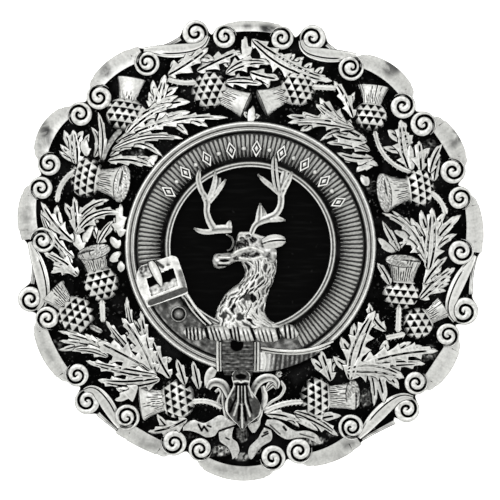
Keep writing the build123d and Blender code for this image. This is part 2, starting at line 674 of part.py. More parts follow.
with BuildPart() as crest_badge:
    with BuildSketch(Plane.XY.offset(badge_base)):
        with Locations((ring_x, ring_y)):
            Circle(strap_outer)
            Circle(strap_inner, mode=Mode.SUBTRACT)
    extrude(amount=strap_thickness)
    with BuildSketch(Plane.XY.offset(badge_base)):
        with Locations((ring_x, ring_y)):
            Circle(strap_outer)
            Circle(strap_outer - outer_border_width, mode=Mode.SUBTRACT)
            Circle(strap_inner + inner_border_width)
            Circle(strap_inner, mode=Mode.SUBTRACT)
        add(band(
            on_badge(tail_edge.x, tail_edge.y), on_badge(tail_edge.end_x, tail_edge.end_y),
            tail_edge.width * ring_unit, tail_edge.bend * ring_unit,
        ))
        with Locations((ring_x, ring_y)):
            Circle(strap_outer, mode=Mode.INTERSECT)
    extrude(amount=strap_thickness + border_rise)
    with BuildSketch(Plane.XY.offset(badge_base)):
        with Locations((ring_x, ring_y)):
            with PolarLocations((ribbed_inner + ribbed_outer) / 2 * ring_unit, rib_count):
                Rectangle((ribbed_outer - ribbed_inner) * ring_unit, rib_width)
    extrude(amount=strap_thickness + rib_rise)
    with BuildSketch(Plane.XY.offset(badge_base)):
        with Locations((ring_x, ring_y)):
            with PolarLocations(
                (ribbed_inner + ribbed_outer) / 2 * ring_unit, lozenge_count,
                lozenge_start, lozenge_end - lozenge_start, endpoint=True,
            ):
                Rectangle(
                    sqrt(2) * lozenge_half_width * ring_unit, sqrt(2) * lozenge_half_width * ring_unit, rotation=45,
                )
    extrude(amount=strap_thickness + lozenge_rise)
    with BuildSketch(Plane.XY.offset(badge_base)):
        add(stag_faces)
    extrude(amount=stag_rise)
    with BuildSketch(Plane.XY.offset(badge_base)):
        add(antler_faces)
    extrude(amount=antler_rise)
    with BuildSketch(Plane.XY.offset(badge_base)):
        add(torse_faces)
    extrude(amount=torse_rise)
    with BuildSketch(Plane.XY.offset(badge_base)):
        add(buckle_faces)
        with Locations(on_badge(eyelet_x, eyelet_y)):
            Circle(eyelet_half * ring_unit)
            Circle(eyelet_hole * ring_unit, mode=Mode.SUBTRACT)
        with Locations((ring_x, ring_y)):
            Circle(strap_outer, mode=Mode.INTERSECT)
    extrude(amount=buckle_rise)
    with BuildSketch(Plane.XY.offset(over_bezel)):
        add(buckle_faces)
    extrude(amount=badge_base + buckle_rise - over_bezel)
    with BuildPart(mode=Mode.PRIVATE) as strap_tip:
        with BuildSketch(Plane.XY.offset(badge_base)):
            add(patch(tip_outline))
        extrude(amount=tall)
        with BuildSketch(Plane.XY.offset(badge_base)):
            with Locations((ring_x, ring_y)):
                Circle(bezel_outer + fit_gap)
                Circle(strap_outer, mode=Mode.SUBTRACT)
        extrude(amount=over_bezel - badge_base, mode=Mode.SUBTRACT)
        add(shell(-tall, tip_rise, badge_base, tall), mode=Mode.INTERSECT)
    with BuildPart(mode=Mode.PRIVATE) as strap_end:
        with BuildSketch():
            add(patch(tip_outline))
            with Locations((ring_x, ring_y)):
                Circle(bezel_outer + fit_gap, mode=Mode.SUBTRACT)
        extrude(amount=tall)
        add(shell(knot_rise + fit_gap, tip_rise, 0, tall), mode=Mode.INTERSECT)
    add([strap_tip.part, strap_end.part])
    with BuildPart(mode=Mode.PRIVATE) as seat_clearance:
        with BuildSketch():
            add(tip_clearance)
            with Locations((ring_x, ring_y)):
                Circle(bezel_outer + fit_gap, mode=Mode.SUBTRACT)
        extrude(amount=tall)
        add(shell(-tall, knot_rise + fit_gap, 0, tall), mode=Mode.INTERSECT)
    add(seat_clearance.part, mode=Mode.SUBTRACT)
crest_badge.part.label = "crest_badge"
export_step(crest_badge.part, "parts/crest_badge.step")

# The pin closes from the hinge at the right to the catch at the left, seen from the front.
barrel_radius = pin_radius + lug_wall
ceiling = floor_height - floor_wall - fit_gap
hinge_place = (pin_reach, pin_up)
catch_place = (-pin_reach, pin_up)
pin_left = -pin_reach - lug_length / 2 - pin_tail
pin_point = 2 * pin_radius
with BuildPart() as pin_fitting:
    with BuildSketch(Plane.XY.offset(pin_drop)):
        with Locations(hinge_place):
            Rectangle(lug_length, lug_width)
        with Locations(catch_place):
            Rectangle(lug_length, 2 * barrel_radius)
    extrude(amount=tall)
    add(shell(-tall, -plate_wall - fit_gap - pad_thickness / 2, 0, ceiling), mode=Mode.INTERSECT)
    with BuildPart(mode=Mode.PRIVATE) as pads:
        with BuildSketch():
            with Locations(hinge_place, catch_place):
                Rectangle(pad_length, pad_width)
        extrude(amount=tall)
        add(
            shell(-plate_wall - fit_gap - pad_thickness, -plate_wall - fit_gap, 0, ceiling),
            mode=Mode.INTERSECT,
        )
    add(pads.part)
    with BuildSketch(Plane(origin=(pin_reach, pin_up + lug_width / 2, pin_drop), z_dir=(0, -1, 0))):
        Circle(barrel_radius)
    extrude(amount=lug_width)
    with BuildSketch(Plane(origin=(-pin_reach - lug_length / 2, pin_up, pin_drop), z_dir=(1, 0, 0))):
        Circle(barrel_radius)
    extrude(amount=lug_length)
    with BuildSketch(Plane(origin=(pin_reach, pin_up, pin_drop), z_dir=(-1, 0, 0))):
        Circle(pin_radius)
    extrude(amount=pin_reach - pin_left - pin_point)
    with BuildSketch(Plane(origin=(pin_left + pin_point, pin_up, pin_drop), z_dir=(-1, 0, 0))):
        Circle(pin_radius)
    extrude(amount=pin_point, taper=20)
pin_fitting.part.label = "pin_fitting"
export_step(pin_fitting.part, "parts/pin_fitting.step")
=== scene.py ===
"""Dresses the cast plaid brooch: thistle wreath, scroll border, strap badge, stag and black field."""
import logging
import math
from collections.abc import Callable, Sequence
from dataclasses import dataclass, replace
from enum import Enum
from typing import NamedTuple

import bmesh
import bpy
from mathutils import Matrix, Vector, noise


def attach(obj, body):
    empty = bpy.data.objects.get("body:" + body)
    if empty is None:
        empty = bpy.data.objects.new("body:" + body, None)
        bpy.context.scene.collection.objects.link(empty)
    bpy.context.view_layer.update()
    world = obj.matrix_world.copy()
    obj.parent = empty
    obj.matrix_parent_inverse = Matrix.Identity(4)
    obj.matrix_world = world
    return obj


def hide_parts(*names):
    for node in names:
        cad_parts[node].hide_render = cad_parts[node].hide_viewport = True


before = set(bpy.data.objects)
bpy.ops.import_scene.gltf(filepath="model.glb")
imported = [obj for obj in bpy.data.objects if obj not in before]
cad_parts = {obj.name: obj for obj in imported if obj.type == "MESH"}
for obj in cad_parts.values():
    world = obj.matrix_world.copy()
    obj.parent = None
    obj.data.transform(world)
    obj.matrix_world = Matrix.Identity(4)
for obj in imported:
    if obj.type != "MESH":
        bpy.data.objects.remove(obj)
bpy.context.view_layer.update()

MILLIMETRE = 0.001
SHARP_ANGLE = math.radians(50)
log = logging.getLogger("brooch")

Place = Callable[[float, float], tuple[float, float]]
Ground = Callable[[float, float], float]
Corner = tuple[float, float, float, float]
Pair = tuple[float, float]
Triple = tuple[float, float, float]


class Node(NamedTuple):
    """A point of a strip's middle line in sheet units, with the strip's half width there.

    left and right are how far its two borders stand out past that half width.
    """

    x: float
    y: float
    half: float
    left: float = 0.0
    right: float = 0.0


class Mark(NamedTuple):
    """An oval spot on a panel, in sheet units, with its depth in millimetres and its tone."""

    x: float
    y: float
    half_x: float
    half_y: float
    depth: float
    tone: float

    def reach(self, x: float, y: float) -> float:
        """How far a point lies from its middle; 1 is its edge."""
        return math.hypot((x - self.x) / self.half_x, (y - self.y) / self.half_y)


class Stroke(NamedTuple):
    """A straight line on a panel, in sheet units; a negative depth raises it."""

    x: float
    y: float
    end_x: float
    end_y: float
    half: float
    depth: float
    tone: float


@dataclass(frozen=True)
class Drawing:
    """The sheet that the brooch is drawn on, and the sizes of the solids that the scene follows.

    On the sheet x runs right and y down in sheet units. Sizes of solids are in metres.

    Attributes:
        middle: The sheet's middle, across and down.
        half: Half the brooch's width on the sheet.
        half_width: Half the brooch's width.
        ring_middle_x: The strap ring's centre on the sheet, across.
        ring_middle_y: The strap ring's centre on the sheet, down.
        border_x: The scroll border's centre on the sheet, across.
        border_y: The scroll border's centre on the sheet, down.
        floor_height: Height of the flat floor under the badge.
        rim_height: Height of the dome at its rim.
        rim_share: The rim's radius as a share of half the width.
        bezel_outer: Outer radius of the bezel.
        badge_base: Height of the badge's underside.
    """

    middle: float = 250.0
    half: float = 233.0
    half_width: float = 0.040
    ring_middle_x: float = 250.5
    ring_middle_y: float = 247.0
    border_x: float = 249.0
    border_y: float = 247.0
    floor_height: float = 0.0078
    rim_height: float = 0.0028
    rim_share: float = 0.93
    bezel_outer: float = 0.02155
    badge_base: float = 0.0088

    @property
    def unit(self) -> float:
        """The length of a sheet unit."""
        return self.half_width / self.half

    def place(self, x: float, y: float) -> Pair:
        """The model's place of a point of the sheet."""
        return (x - self.middle) * self.unit, (self.middle - y) * self.unit

    def sheet(self, x: float, y: float) -> Pair:
        """The point of the sheet that lies at a place of the model."""
        return x / self.unit + self.middle, self.middle - y / self.unit

    def profile(self, rows: Sequence[Triple], base: float = 0.0) -> list[Triple]:
        """Brings rows of radius in sheet units, height in millimetres over a base, and tone to metres."""
        return [(radius * self.unit, base + height * MILLIMETRE, tone) for radius, height, tone in rows]

    @property
    def ring_middle(self) -> Pair:
        """The strap ring's centre in the model."""
        return self.place(self.ring_middle_x, self.ring_middle_y)

    @property
    def sphere_centre(self) -> float:
        """The height of the dome's centre."""
        rim = self.rim_share * self.half_width
        return (self.bezel_outer**2 + self.floor_height**2 - rim**2 - self.rim_height**2) / (
            2 * (self.floor_height - self.rim_height)
        )

    @property
    def sphere_radius(self) -> float:
        """The dome's radius."""
        return math.hypot(self.bezel_outer, self.floor_height - self.sphere_centre)

    def dome(self, x: float, y: float) -> float:
        """The dome's height over a point of the model."""
        ring_x, ring_y = self.ring_middle
        return self.sphere_centre + math.sqrt(self.sphere_radius**2 - (x - ring_x) ** 2 - (y - ring_y) ** 2)

    def on_dome(self) -> "Casting":
        """An empty casting that stands on the dome."""
        return Casting(self.place, self.dome)

    def on_badge(self) -> "Casting":
        """An empty casting that stands on the badge's flat base."""
        return Casting(self.place, lambda x, y: self.badge_base)

    def by_itself(self) -> "Casting":
        """An empty casting about its own middle, for a form that is repeated."""
        return Casting(lambda x, y: (x * self.unit, y * self.unit), lambda x, y: 0.0)


def step(low: float, high: float, value: float) -> float:
    """A smooth step from 0 at low to 1 at high."""
    share = min(max((value - low) / (high - low), 0.0), 1.0)
    return share * share * (3 - 2 * share)


def ripple(x: float, y: float, scale: float, seed: float = 0.0) -> float:
    """A soft random value from -1 to 1 that changes over about scale sheet units."""
    return noise.noise(Vector((x / scale, y / scale, seed)))


def aim(start: Pair, end: Pair) -> Triple:
    """The distance from one point to another, and the direction."""
    run = math.dist(start, end)
    return run, (end[0] - start[0]) / run, (end[1] - start[1]) / run


def strongest(marks: Sequence[Mark], x: float, y: float, outer: float, inner: float) -> float:
    """The tone of the strongest spot at a place, where each fades out from inner to outer."""
    return max(mark.tone * step(outer, inner, mark.reach(x, y)) for mark in marks)


def chance(x: float, y: float, seed: float = 0.5) -> float:
    """A random value from 0 to 1 for each cell of a grid."""
    return 0.5 + noise.cell(Vector((x, y, seed))) / 2


def between(rows: Sequence[Sequence[float]], value: float) -> tuple[float, ...]:
    """The row of a table at a value of its first column, by straight lines between its rows."""
    for before, after in zip(rows, rows[1:]):
        if value <= after[0]:
            share = (value - before[0]) / (after[0] - before[0])
            return tuple(a + (b - a) * share for a, b in zip(before, after))
    return tuple(rows[-1])


def smooth(nodes: Sequence[Sequence[float]], spacing: float = 1.2) -> list[tuple[float, ...]]:
    """Runs a smooth line through a few rows of numbers.

    Args:
        nodes: Rows whose first two numbers are a place on the sheet.
        spacing: The distance between the points given back.

    Returns:
        Rows of the same length along the line.
    """
    rows = [tuple(node) for node in nodes]
    first = tuple(2 * a - b for a, b in zip(rows[0], rows[1]))
    last = tuple(2 * a - b for a, b in zip(rows[-1], rows[-2]))
    chain = [first, *rows, last]
    points = [rows[0]]
    for before, start, end, after in zip(chain, chain[1:], chain[2:], chain[3:]):
        steps = max(2, round(math.dist(start[:2], end[:2]) / spacing))
        for count in range(1, steps + 1):
            t = count / steps
            point = []
            for a, b, c, d in zip(before, start, end, after):
                square, cube = 2 * a - 5 * b + 4 * c - d, 3 * b - a - 3 * c + d
                point.append(0.5 * (2 * b + (c - a) * t + square * t * t + cube * t**3))
            points.append(tuple(point))
    return points


# The dark ledge is painted shade at a strip's foot, along with the black of that crevice; the bright edge is
# a painted highlight.
BORDER_COLUMNS = 4  # a section's columns from its dark ledge to its bright edge, on either side


@dataclass(frozen=True)
class Section:
    """The shape across a cast strip.

    Attributes:
        crown: How far the sides lie below the middle, as a share of the rise.
        veins: Places of the cut lines across, from -1 to 1.
        cut: Depth of the lines as a share of the rise.
        line: Half width of a line, in sheet units.
        edge: Width of the rounded edge, which is painted bright as a highlight, in sheet units.
        skirt: Width of the dark ledge outside it, painted shade at the strip's foot along with the black of
            that crevice.
        top: Tone on top.
        rim: Tone beside edges and lines; where it is brighter than the top it is a painted highlight.
        fade: Share of the length after which the lines run out.
        mottle: How much the tone on top varies.
    """

    crown: float = 0.3
    veins: tuple[float, ...] = ()
    cut: float = 0.4
    line: float = 0.9
    edge: float = 1.0
    skirt: float = 0.45
    top: float = 0.82
    rim: float = 1.0
    fade: float = 2.0
    mottle: float = 0.12

    def columns(self, half: float, share: float = 0.0) -> list[Triple]:
        """The offsets, heights and tones across a strip, from left to right.

        Args:
            half: The strip's half width there.
            share: How far along the strip it is.

        Returns:
            Rows of offset, height as a share of the rise, and tone.
        """
        edge = min(self.edge, 0.4 * half)
        skirt = min(self.skirt, 0.6 * half)
        stops = [-1.0, *self.veins, 1.0]
        room = min(b - a for a, b in zip(stops, stops[1:])) * half
        line = min(self.line, 0.26 * room)
        depth = 1 - step(self.fade, self.fade + 0.15, share)
        side = 1 - self.crown
        ledge = side * 0.88
        # The ledge paints shade at the foot; the rounded edge takes the rim tone, a painted highlight.
        border = (
            (half + skirt, ledge, 0.0),
            (half + 0.1 * skirt, ledge, 0.0),
            (half, side * 0.95, self.rim * 0.93),
            (half - edge, side, self.rim),
        )
        columns = list(border)
        for start, end in zip(stops, stops[1:]):
            middle = (start + end) / 2
            columns.append((-middle * half, 1 - self.crown * middle**2, self.top))
            if end < 1.0:
                height = 1 - self.crown * end**2
                for spot, deep in ((line, 0.0), (0.55 * line, depth), (-0.55 * line, depth), (-line, 0.0)):
                    columns.append((-end * half + spot, height - self.cut * deep, self.rim * (1 - deep)))
        columns += [(-offset, height, tone) for offset, height, tone in reversed(border)]
        return columns


class Casting:
    """Gathers closed cast forms into one mesh, with a tone for each vertex: 0 is black, 1 is bright.

    Attributes:
        thinnest: The smallest half width that a strip is cast with, in sheet units.
        foot: Height of the dark line round a panel's foot, in metres; the line is painted shade where the
            panel meets the ground, along with the black of that crevice.
    """

    thinnest: float = 0.12
    foot: float = 0.0001

    def __init__(self, place: Place, ground: Ground) -> None:
        """Starts an empty casting whose forms stand on a ground."""
        self.place = place
        self.ground = ground
        self.points: list[Triple] = []
        self.tones: list[float] = []
        self.smears: list[float] = []
        self.grits: list[float] = []
        self.faces: list[tuple[int, ...]] = []
        self.smear = 0.0

    def loft(self, rows: Sequence[Sequence[Corner]], wrap: bool = False) -> None:
        """Skins closed loops into a tube.

        Args:
            rows: Loops of equal length.
            wrap: Whether the last loop joins the first; otherwise both ends are capped.
        """
        start = len(self.points)
        size = len(rows[0])
        for row in rows:
            for x, y, z, tone in row:
                self.points.append((x, y, z))
                self.tones.append(tone)
                self.smears.append(self.smear)
                self.grits.append(0.0)
        count = len(rows)
        for index in range(count if wrap else count - 1):
            here = start + index * size
            there = start + (index + 1) % count * size
            for column in range(size):
                after = (column + 1) % size
                self.faces.append((here + column, here + after, there + after, there + column))
        if not wrap:
            self.faces.append(tuple(range(start + size - 1, start - 1, -1)))
            end = start + (count - 1) * size
            self.faces.append(tuple(range(end, end + size)))

    def corner(self, x: float, y: float, height: float, tone: float) -> Corner:
        """A point of the sheet at a height above the ground."""
        across, up = self.place(x, y)
        return across, up, self.ground(across, up) + height, tone

    def sweep(
        self,
        path: Sequence[Sequence[float]],
        section: Section,
        rise: float,
        sink: float = 0.0005,
        ends: Pair = (1.0, 1.0),
    ) -> None:
        """Runs a section along a path.

        Args:
            path: Rows of x, y and half width in sheet units, and of how far the two borders stand out.
            section: The shape across.
            rise: Height above the ground, in metres.
            sink: How far the underside lies in the ground.
            ends: Shares of the rise at the start and the end.
        """
        rows = []
        last = len(path) - 1
        for index, (x, y, half, *shifts) in enumerate(path):
            ahead, behind = path[min(index + 1, last)], path[max(index - 1, 0)]
            run_x, run_y = ahead[0] - behind[0], ahead[1] - behind[1]
            run = math.hypot(run_x, run_y) or 1.0
            left_x, left_y = run_y / run, -run_x / run
            share = index / last
            scale = ends[0] + (ends[1] - ends[0]) * share
            columns = section.columns(max(half, self.thinnest), share)
            left, right = shifts or (0.0, 0.0)
            inner = len(columns) - 2 * BORDER_COLUMNS
            moves = [left] * BORDER_COLUMNS + [0.0] * inner + [-right] * BORDER_COLUMNS
            row = [self.corner(x + left_x * columns[0][0], y + left_y * columns[0][0], -sink, 0.0)]
            for (offset, height, tone), move in zip(columns, moves):
                offset += move
                across, up = x + left_x * offset, y + left_y * offset
                if 0.5 < tone < 0.95:
                    tone += section.mottle * ripple(across, up, 2.6, 12.0)
                row.append(self.corner(across, up, rise * scale * height, tone))
            row.append(self.corner(x + left_x * offset, y + left_y * offset, -sink, 0.0))
            rows.append(row)
        self.loft(rows)

    def panel(
        self,
        edges: Sequence[Sequence[float]],
        columns: int,
        shape: Callable[[float, float, float, float], Pair],
        sink: float = 0.0005,
        spacing: float = 0.9,
    ) -> None:
        """Skins the space between two edges.

        Args:
            edges: Rows of left x, left y, right x and right y in sheet units.
            columns: Number of points across.
            shape: Gives the height in metres and the tone from x, y and the shares across and along.
            sink: How far the underside lies in the ground.
            spacing: Distance between the rows.
        """
        rows = []
        path = smooth(edges, spacing)
        for index, (left_x, left_y, right_x, right_y) in enumerate(path):
            # The dark foot line is painted shade where the panel meets the ground, along with the black of
            # that crevice.
            row = [self.corner(left_x, left_y, height, 0.0) for height in (-sink, self.foot)]
            for column in range(columns):
                across = (column + 0.5) / columns
                x = left_x + (right_x - left_x) * across
                y = left_y + (right_y - left_y) * across
                height, tone = shape(x, y, across * 2 - 1, index / (len(path) - 1) * 2 - 1)
                row.append(self.corner(x, y, height, tone))
            row += [self.corner(right_x, right_y, height, 0.0) for height in (self.foot, -sink)]
            rows.append(row)
        self.loft(rows)

    def ring(self, middle: Pair, profile: Sequence[Triple], steps: int) -> None:
        """Turns a closed profile of radius, level and tone, in metres, round a centre."""
        rows = []
        for index in range(steps):
            angle = math.tau * index / steps
            cos, sin = math.cos(angle), math.sin(angle)
            rows.append([(middle[0] + r * cos, middle[1] + r * sin, z, tone) for r, z, tone in profile])
        self.loft(rows, wrap=True)

    def mesh(self, name: str) -> bpy.types.Mesh:
        """The finished mesh with its tone, smear and grit for each vertex."""
        mesh = bpy.data.meshes.new(name)
        mesh.from_pydata(self.points, [], self.faces)
        for label, values in (("tone", self.tones), ("smear", self.smears), ("grit", self.grits)):
            layer = mesh.attributes.new(label, "FLOAT", "POINT")
            layer.data.foreach_set("value", values)
        face_outwards(mesh)
        return soften(mesh)

    def build(self, name: str, material: bpy.types.Material) -> bpy.types.Object:
        """Makes the casting an object with its material."""
        mesh = self.mesh(name)
        mesh.materials.append(material)
        return put(name, mesh)


def face_outwards(mesh: bpy.types.Mesh) -> None:
    """Turns every closed form's faces outwards."""
    shape = bmesh.new()
    shape.from_mesh(mesh)
    bmesh.ops.recalc_face_normals(shape, faces=shape.faces)
    shape.to_mesh(mesh)
    shape.free()


def soften(mesh: bpy.types.Mesh) -> bpy.types.Mesh:
    """Shades a mesh smooth up to its sharp edges."""
    mesh.shade_smooth()
    mesh.set_sharp_from_angle(angle=SHARP_ANGLE)
    return mesh


def put(name: str, data: bpy.types.ID) -> bpy.types.Object:
    """Links a new object to the scene."""
    made = bpy.data.objects.new(name, data)
    bpy.context.scene.collection.objects.link(made)
    return made


class Slot(Enum):
    """The record's material slots, which the materials are named after."""

    METAL = "antiqued_metal"
    BADGE = "badge_metal"
    FIELD = "black_field"
    PIN = "pin_steel"


def deliver(piece: bpy.types.Object, slot: Slot, *nodes: str) -> bpy.types.Object:
    """Fixes a finished piece to the brooch and reports it.

    Args:
        piece: The finished object.
        slot: Not used.
        nodes: The solids that it stands for.

    Returns:
        The piece.
    """
    if nodes:
        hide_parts(*nodes)
    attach(piece, "root")
    piece.data.calc_loop_triangles()
    log.info("%s: %d triangles", piece.name, len(piece.data.loop_triangles))
    return piece


class Graph:
    """Adds nodes to a node tree."""

    def __init__(self, tree: bpy.types.NodeTree) -> None:
        """Starts on a tree."""
        self.tree = tree

    def add(self, kind: str, inputs: dict | None = None, **settings: object) -> bpy.types.Node:
        """Adds a node with its properties, and sets its inputs or links them to other nodes."""
        made = self.tree.nodes.new(kind)
        for name, value in settings.items():
            setattr(made, name, value)
        for key, value in (inputs or {}).items():
            if isinstance(value, bpy.types.NodeSocket):
                self.tree.links.new(value, made.inputs[key])
            else:
                made.inputs[key].default_value = value
        return made

    def maths(self, operation: str, *values: object) -> bpy.types.NodeSocket:
        """Adds a sum and gives its result."""
        return self.add("ShaderNodeMath", dict(enumerate(values)), operation=operation).outputs[0]


def deliver_castings(castings: dict[str, Casting], material: bpy.types.Material, slot: Slot) -> None:
    """Makes each named casting a piece in one finish and delivers it."""
    for name, casting in castings.items():
        deliver(casting.build(name, material), slot)


class Mixer(Graph):
    """Builds one material's nodes."""

    def __init__(self, name: str) -> None:
        """Starts a material with the object's own coordinates."""
        self.material = bpy.data.materials.new(name)
        self.material.use_nodes = True
        super().__init__(self.material.node_tree)
        self.tree.nodes.clear()
        self.where = self.add("ShaderNodeTexCoord").outputs["Object"]

    def carried(self, name: str) -> bpy.types.NodeSocket:
        """Reads a number that each vertex carries."""
        return self.add("ShaderNodeAttribute", attribute_name=name).outputs["Fac"]

    def cloud(self, scale: float, detail: float = 3.0, distortion: float = 0.0) -> bpy.types.NodeSocket:
        """Adds a random pattern with features of about a metre over scale."""
        inputs = {"Vector": self.where, "Scale": scale, "Detail": detail, "Distortion": distortion}
        return self.add("ShaderNodeTexNoise", inputs).outputs["Fac"]

    def brushed(self, squeeze: float, scale: float, detail: float) -> bpy.types.NodeSocket:
        """Adds a random pattern that is drawn out along X."""
        stretch = self.add("ShaderNodeMapping", {"Vector": self.where, "Scale": (squeeze, 1.0, 1.0)})
        inputs = {"Vector": stretch.outputs["Vector"], "Scale": scale, "Detail": detail}
        return self.add("ShaderNodeTexNoise", inputs).outputs["Fac"]

    def spread(
        self, value: object, low: float, high: float, to_low: float = 0.0, to_high: float = 1.0
    ) -> bpy.types.NodeSocket:
        """Maps a range of values to another, held at its ends."""
        inputs = {"Value": value, "From Min": low, "From Max": high, "To Min": to_low, "To Max": to_high}
        return self.add("ShaderNodeMapRange", inputs).outputs["Result"]

    def shades(self, value: object, stops: Sequence[Pair]) -> bpy.types.NodeSocket:
        """Turns a value into a grey, with a trace of warmth, by a few stops of place and grey."""
        made = self.add("ShaderNodeValToRGB", {"Fac": value})
        ramp = made.color_ramp
        while len(ramp.elements) < len(stops):
            ramp.elements.new(0.5)
        for element, (spot, grey) in zip(ramp.elements, stops):
            element.position = spot
            element.color = (grey, grey, grey * 0.985, 1.0)
        return made.outputs["Color"]

    def finish(self, bump: object, depth: float, **inputs: object) -> bpy.types.Material:
        """Adds the surface with a small bump; inputs are named with underlines for spaces."""
        relief = self.add("ShaderNodeBump", {"Height": bump, "Distance": depth, "Strength": 1.0})
        settings = {name.replace("_", " "): value for name, value in inputs.items()}
        surface = self.add("ShaderNodeBsdfPrincipled", {"Normal": relief.outputs["Normal"], **settings})
        self.add("ShaderNodeOutputMaterial", {"Surface": surface.outputs["BSDF"]})
        return self.material


@dataclass(frozen=True)
class AntiquedMetal:
    """White metal polished on its high parts, with black left in the hollows.

    Attributes:
        slot: The slot that it fills.
        stops: Greys of the tones from hollow to edge, which carry the black of the hollows and the painted
            shade and highlights of the castings.
        tarnish: Colour of old tarnish.
        grain: How much fine wear breaks the tones.
        rough: Roughness of the polished metal.
        mottle: How strongly old tarnish clouds the metal.
        relief: Depth of the fine bumps, in metres.
        gloss: Specular level, low enough to leave the hollows black.
    """

    slot: Slot
    stops: tuple[Pair, ...] = (
        (0.0, 0.0008), (0.3, 0.003), (0.5, 0.1), (0.7, 0.4), (0.85, 0.64), (1.0, 0.86)
    )
    tarnish: Corner = (0.05, 0.05, 0.052, 1.0)
    grain: float = 0.25
    rough: float = 0.4
    mottle: float = 0.16
    relief: float = 0.00007
    gloss: float = 0.01

    def make(self) -> bpy.types.Material:
        """Builds the material."""
        mix = Mixer(self.slot.value)
        fine = mix.cloud(2600.0, 4.0)
        flecks = mix.spread(mix.cloud(1700.0, 5.0, 1.2), 0.55, 0.7, 0.0, 0.6)
        patches = mix.spread(mix.cloud(260.0, 2.0), 0.35, 0.6, 0.25, 1.0)
        worn = mix.maths("MULTIPLY", mix.maths("MULTIPLY", flecks, patches), mix.carried("grit"))
        base = mix.maths("MAXIMUM", mix.carried("tone"), worn)
        wear = mix.maths("MULTIPLY_ADD", mix.maths("SUBTRACT", fine, 0.5), self.grain, base)
        clouds = mix.spread(mix.cloud(200.0, 6.0, 0.6), 0.5, 0.68, 0.0, self.mottle)
        streaks = mix.spread(mix.cloud(420.0, 5.0, 0.8), 0.32, 0.56)
        stain = mix.maths("MAXIMUM", clouds, mix.maths("MULTIPLY", streaks, mix.carried("smear")))
        factor, first, second = 0, 6, 7  # a colour mix's sockets
        inputs = {factor: stain, first: mix.shades(wear, self.stops), second: self.tarnish}
        colour = mix.add("ShaderNodeMix", inputs, data_type="RGBA").outputs[2]
        shine = mix.spread(wear, 0.3, 0.7, 0.62, self.rough)
        rough = mix.maths("ADD", shine, mix.spread(fine, 0.3, 0.7, -0.04, 0.08))
        metal = mix.spread(wear, 0.25, 0.55, 0.0, 0.92)
        bump = mix.maths("ADD", mix.cloud(1500.0, 5.0), mix.maths("MULTIPLY", mix.cloud(330.0, 2.0), 0.8))
        looks = {"Base_Color": colour, "Roughness": rough, "Metallic": metal}
        return mix.finish(bump, self.relief, Specular_IOR_Level=self.gloss, **looks)


@dataclass(frozen=True)
class BlackField:
    """Glossy black enamel with faint brushed scratches.

    Attributes:
        slot: The slot that it fills.
        dark: Grey of the enamel.
        scratch: Grey of its scratches.
        relief: Depth of the scratches, in metres.
        gloss: Specular level.
    """

    slot: Slot = Slot.FIELD
    dark: float = 0.0022
    scratch: float = 0.006
    relief: float = 0.00001
    gloss: float = 0.01

    def make(self) -> bpy.types.Material:
        """Builds the material."""
        mix = Mixer(self.slot.value)
        lines = mix.brushed(0.12, 1500.0, 4.0)
        specks = mix.spread(mix.cloud(900.0, 2.0), 0.7, 0.78, 0.0, 0.01)
        grey = mix.maths("ADD", mix.spread(lines, 0.5, 0.75, self.dark, self.scratch), specks)
        colour = mix.add("ShaderNodeCombineColor", dict.fromkeys(range(3), grey)).outputs[0]
        rough = mix.spread(lines, 0.3, 0.8, 0.25, 0.5)
        looks = {"Base_Color": colour, "Roughness": rough}
        return mix.finish(lines, self.relief, Specular_IOR_Level=self.gloss, **looks)


@dataclass(frozen=True)
class PinSteel:
    """Plain drawn steel with fine lengthwise draw marks.

    Attributes:
        slot: The slot that it fills.
        stops: Greys across the marks.
        relief: Depth of the marks, in metres.
    """

    slot: Slot = Slot.PIN
    stops: tuple[Pair, ...] = ((0.0, 0.42), (0.5, 0.62), (1.0, 0.75))
    relief: float = 0.00001

    def make(self) -> bpy.types.Material:
        """Builds the material."""
        mix = Mixer(self.slot.value)
        marks = mix.brushed(0.08, 4000.0, 3.0)
        colour = mix.shades(marks, self.stops)
        rough = mix.spread(marks, 0.3, 0.7, 0.24, 0.42)
        return mix.finish(marks, self.relief, Base_Color=colour, Roughness=rough, Metallic=1.0)


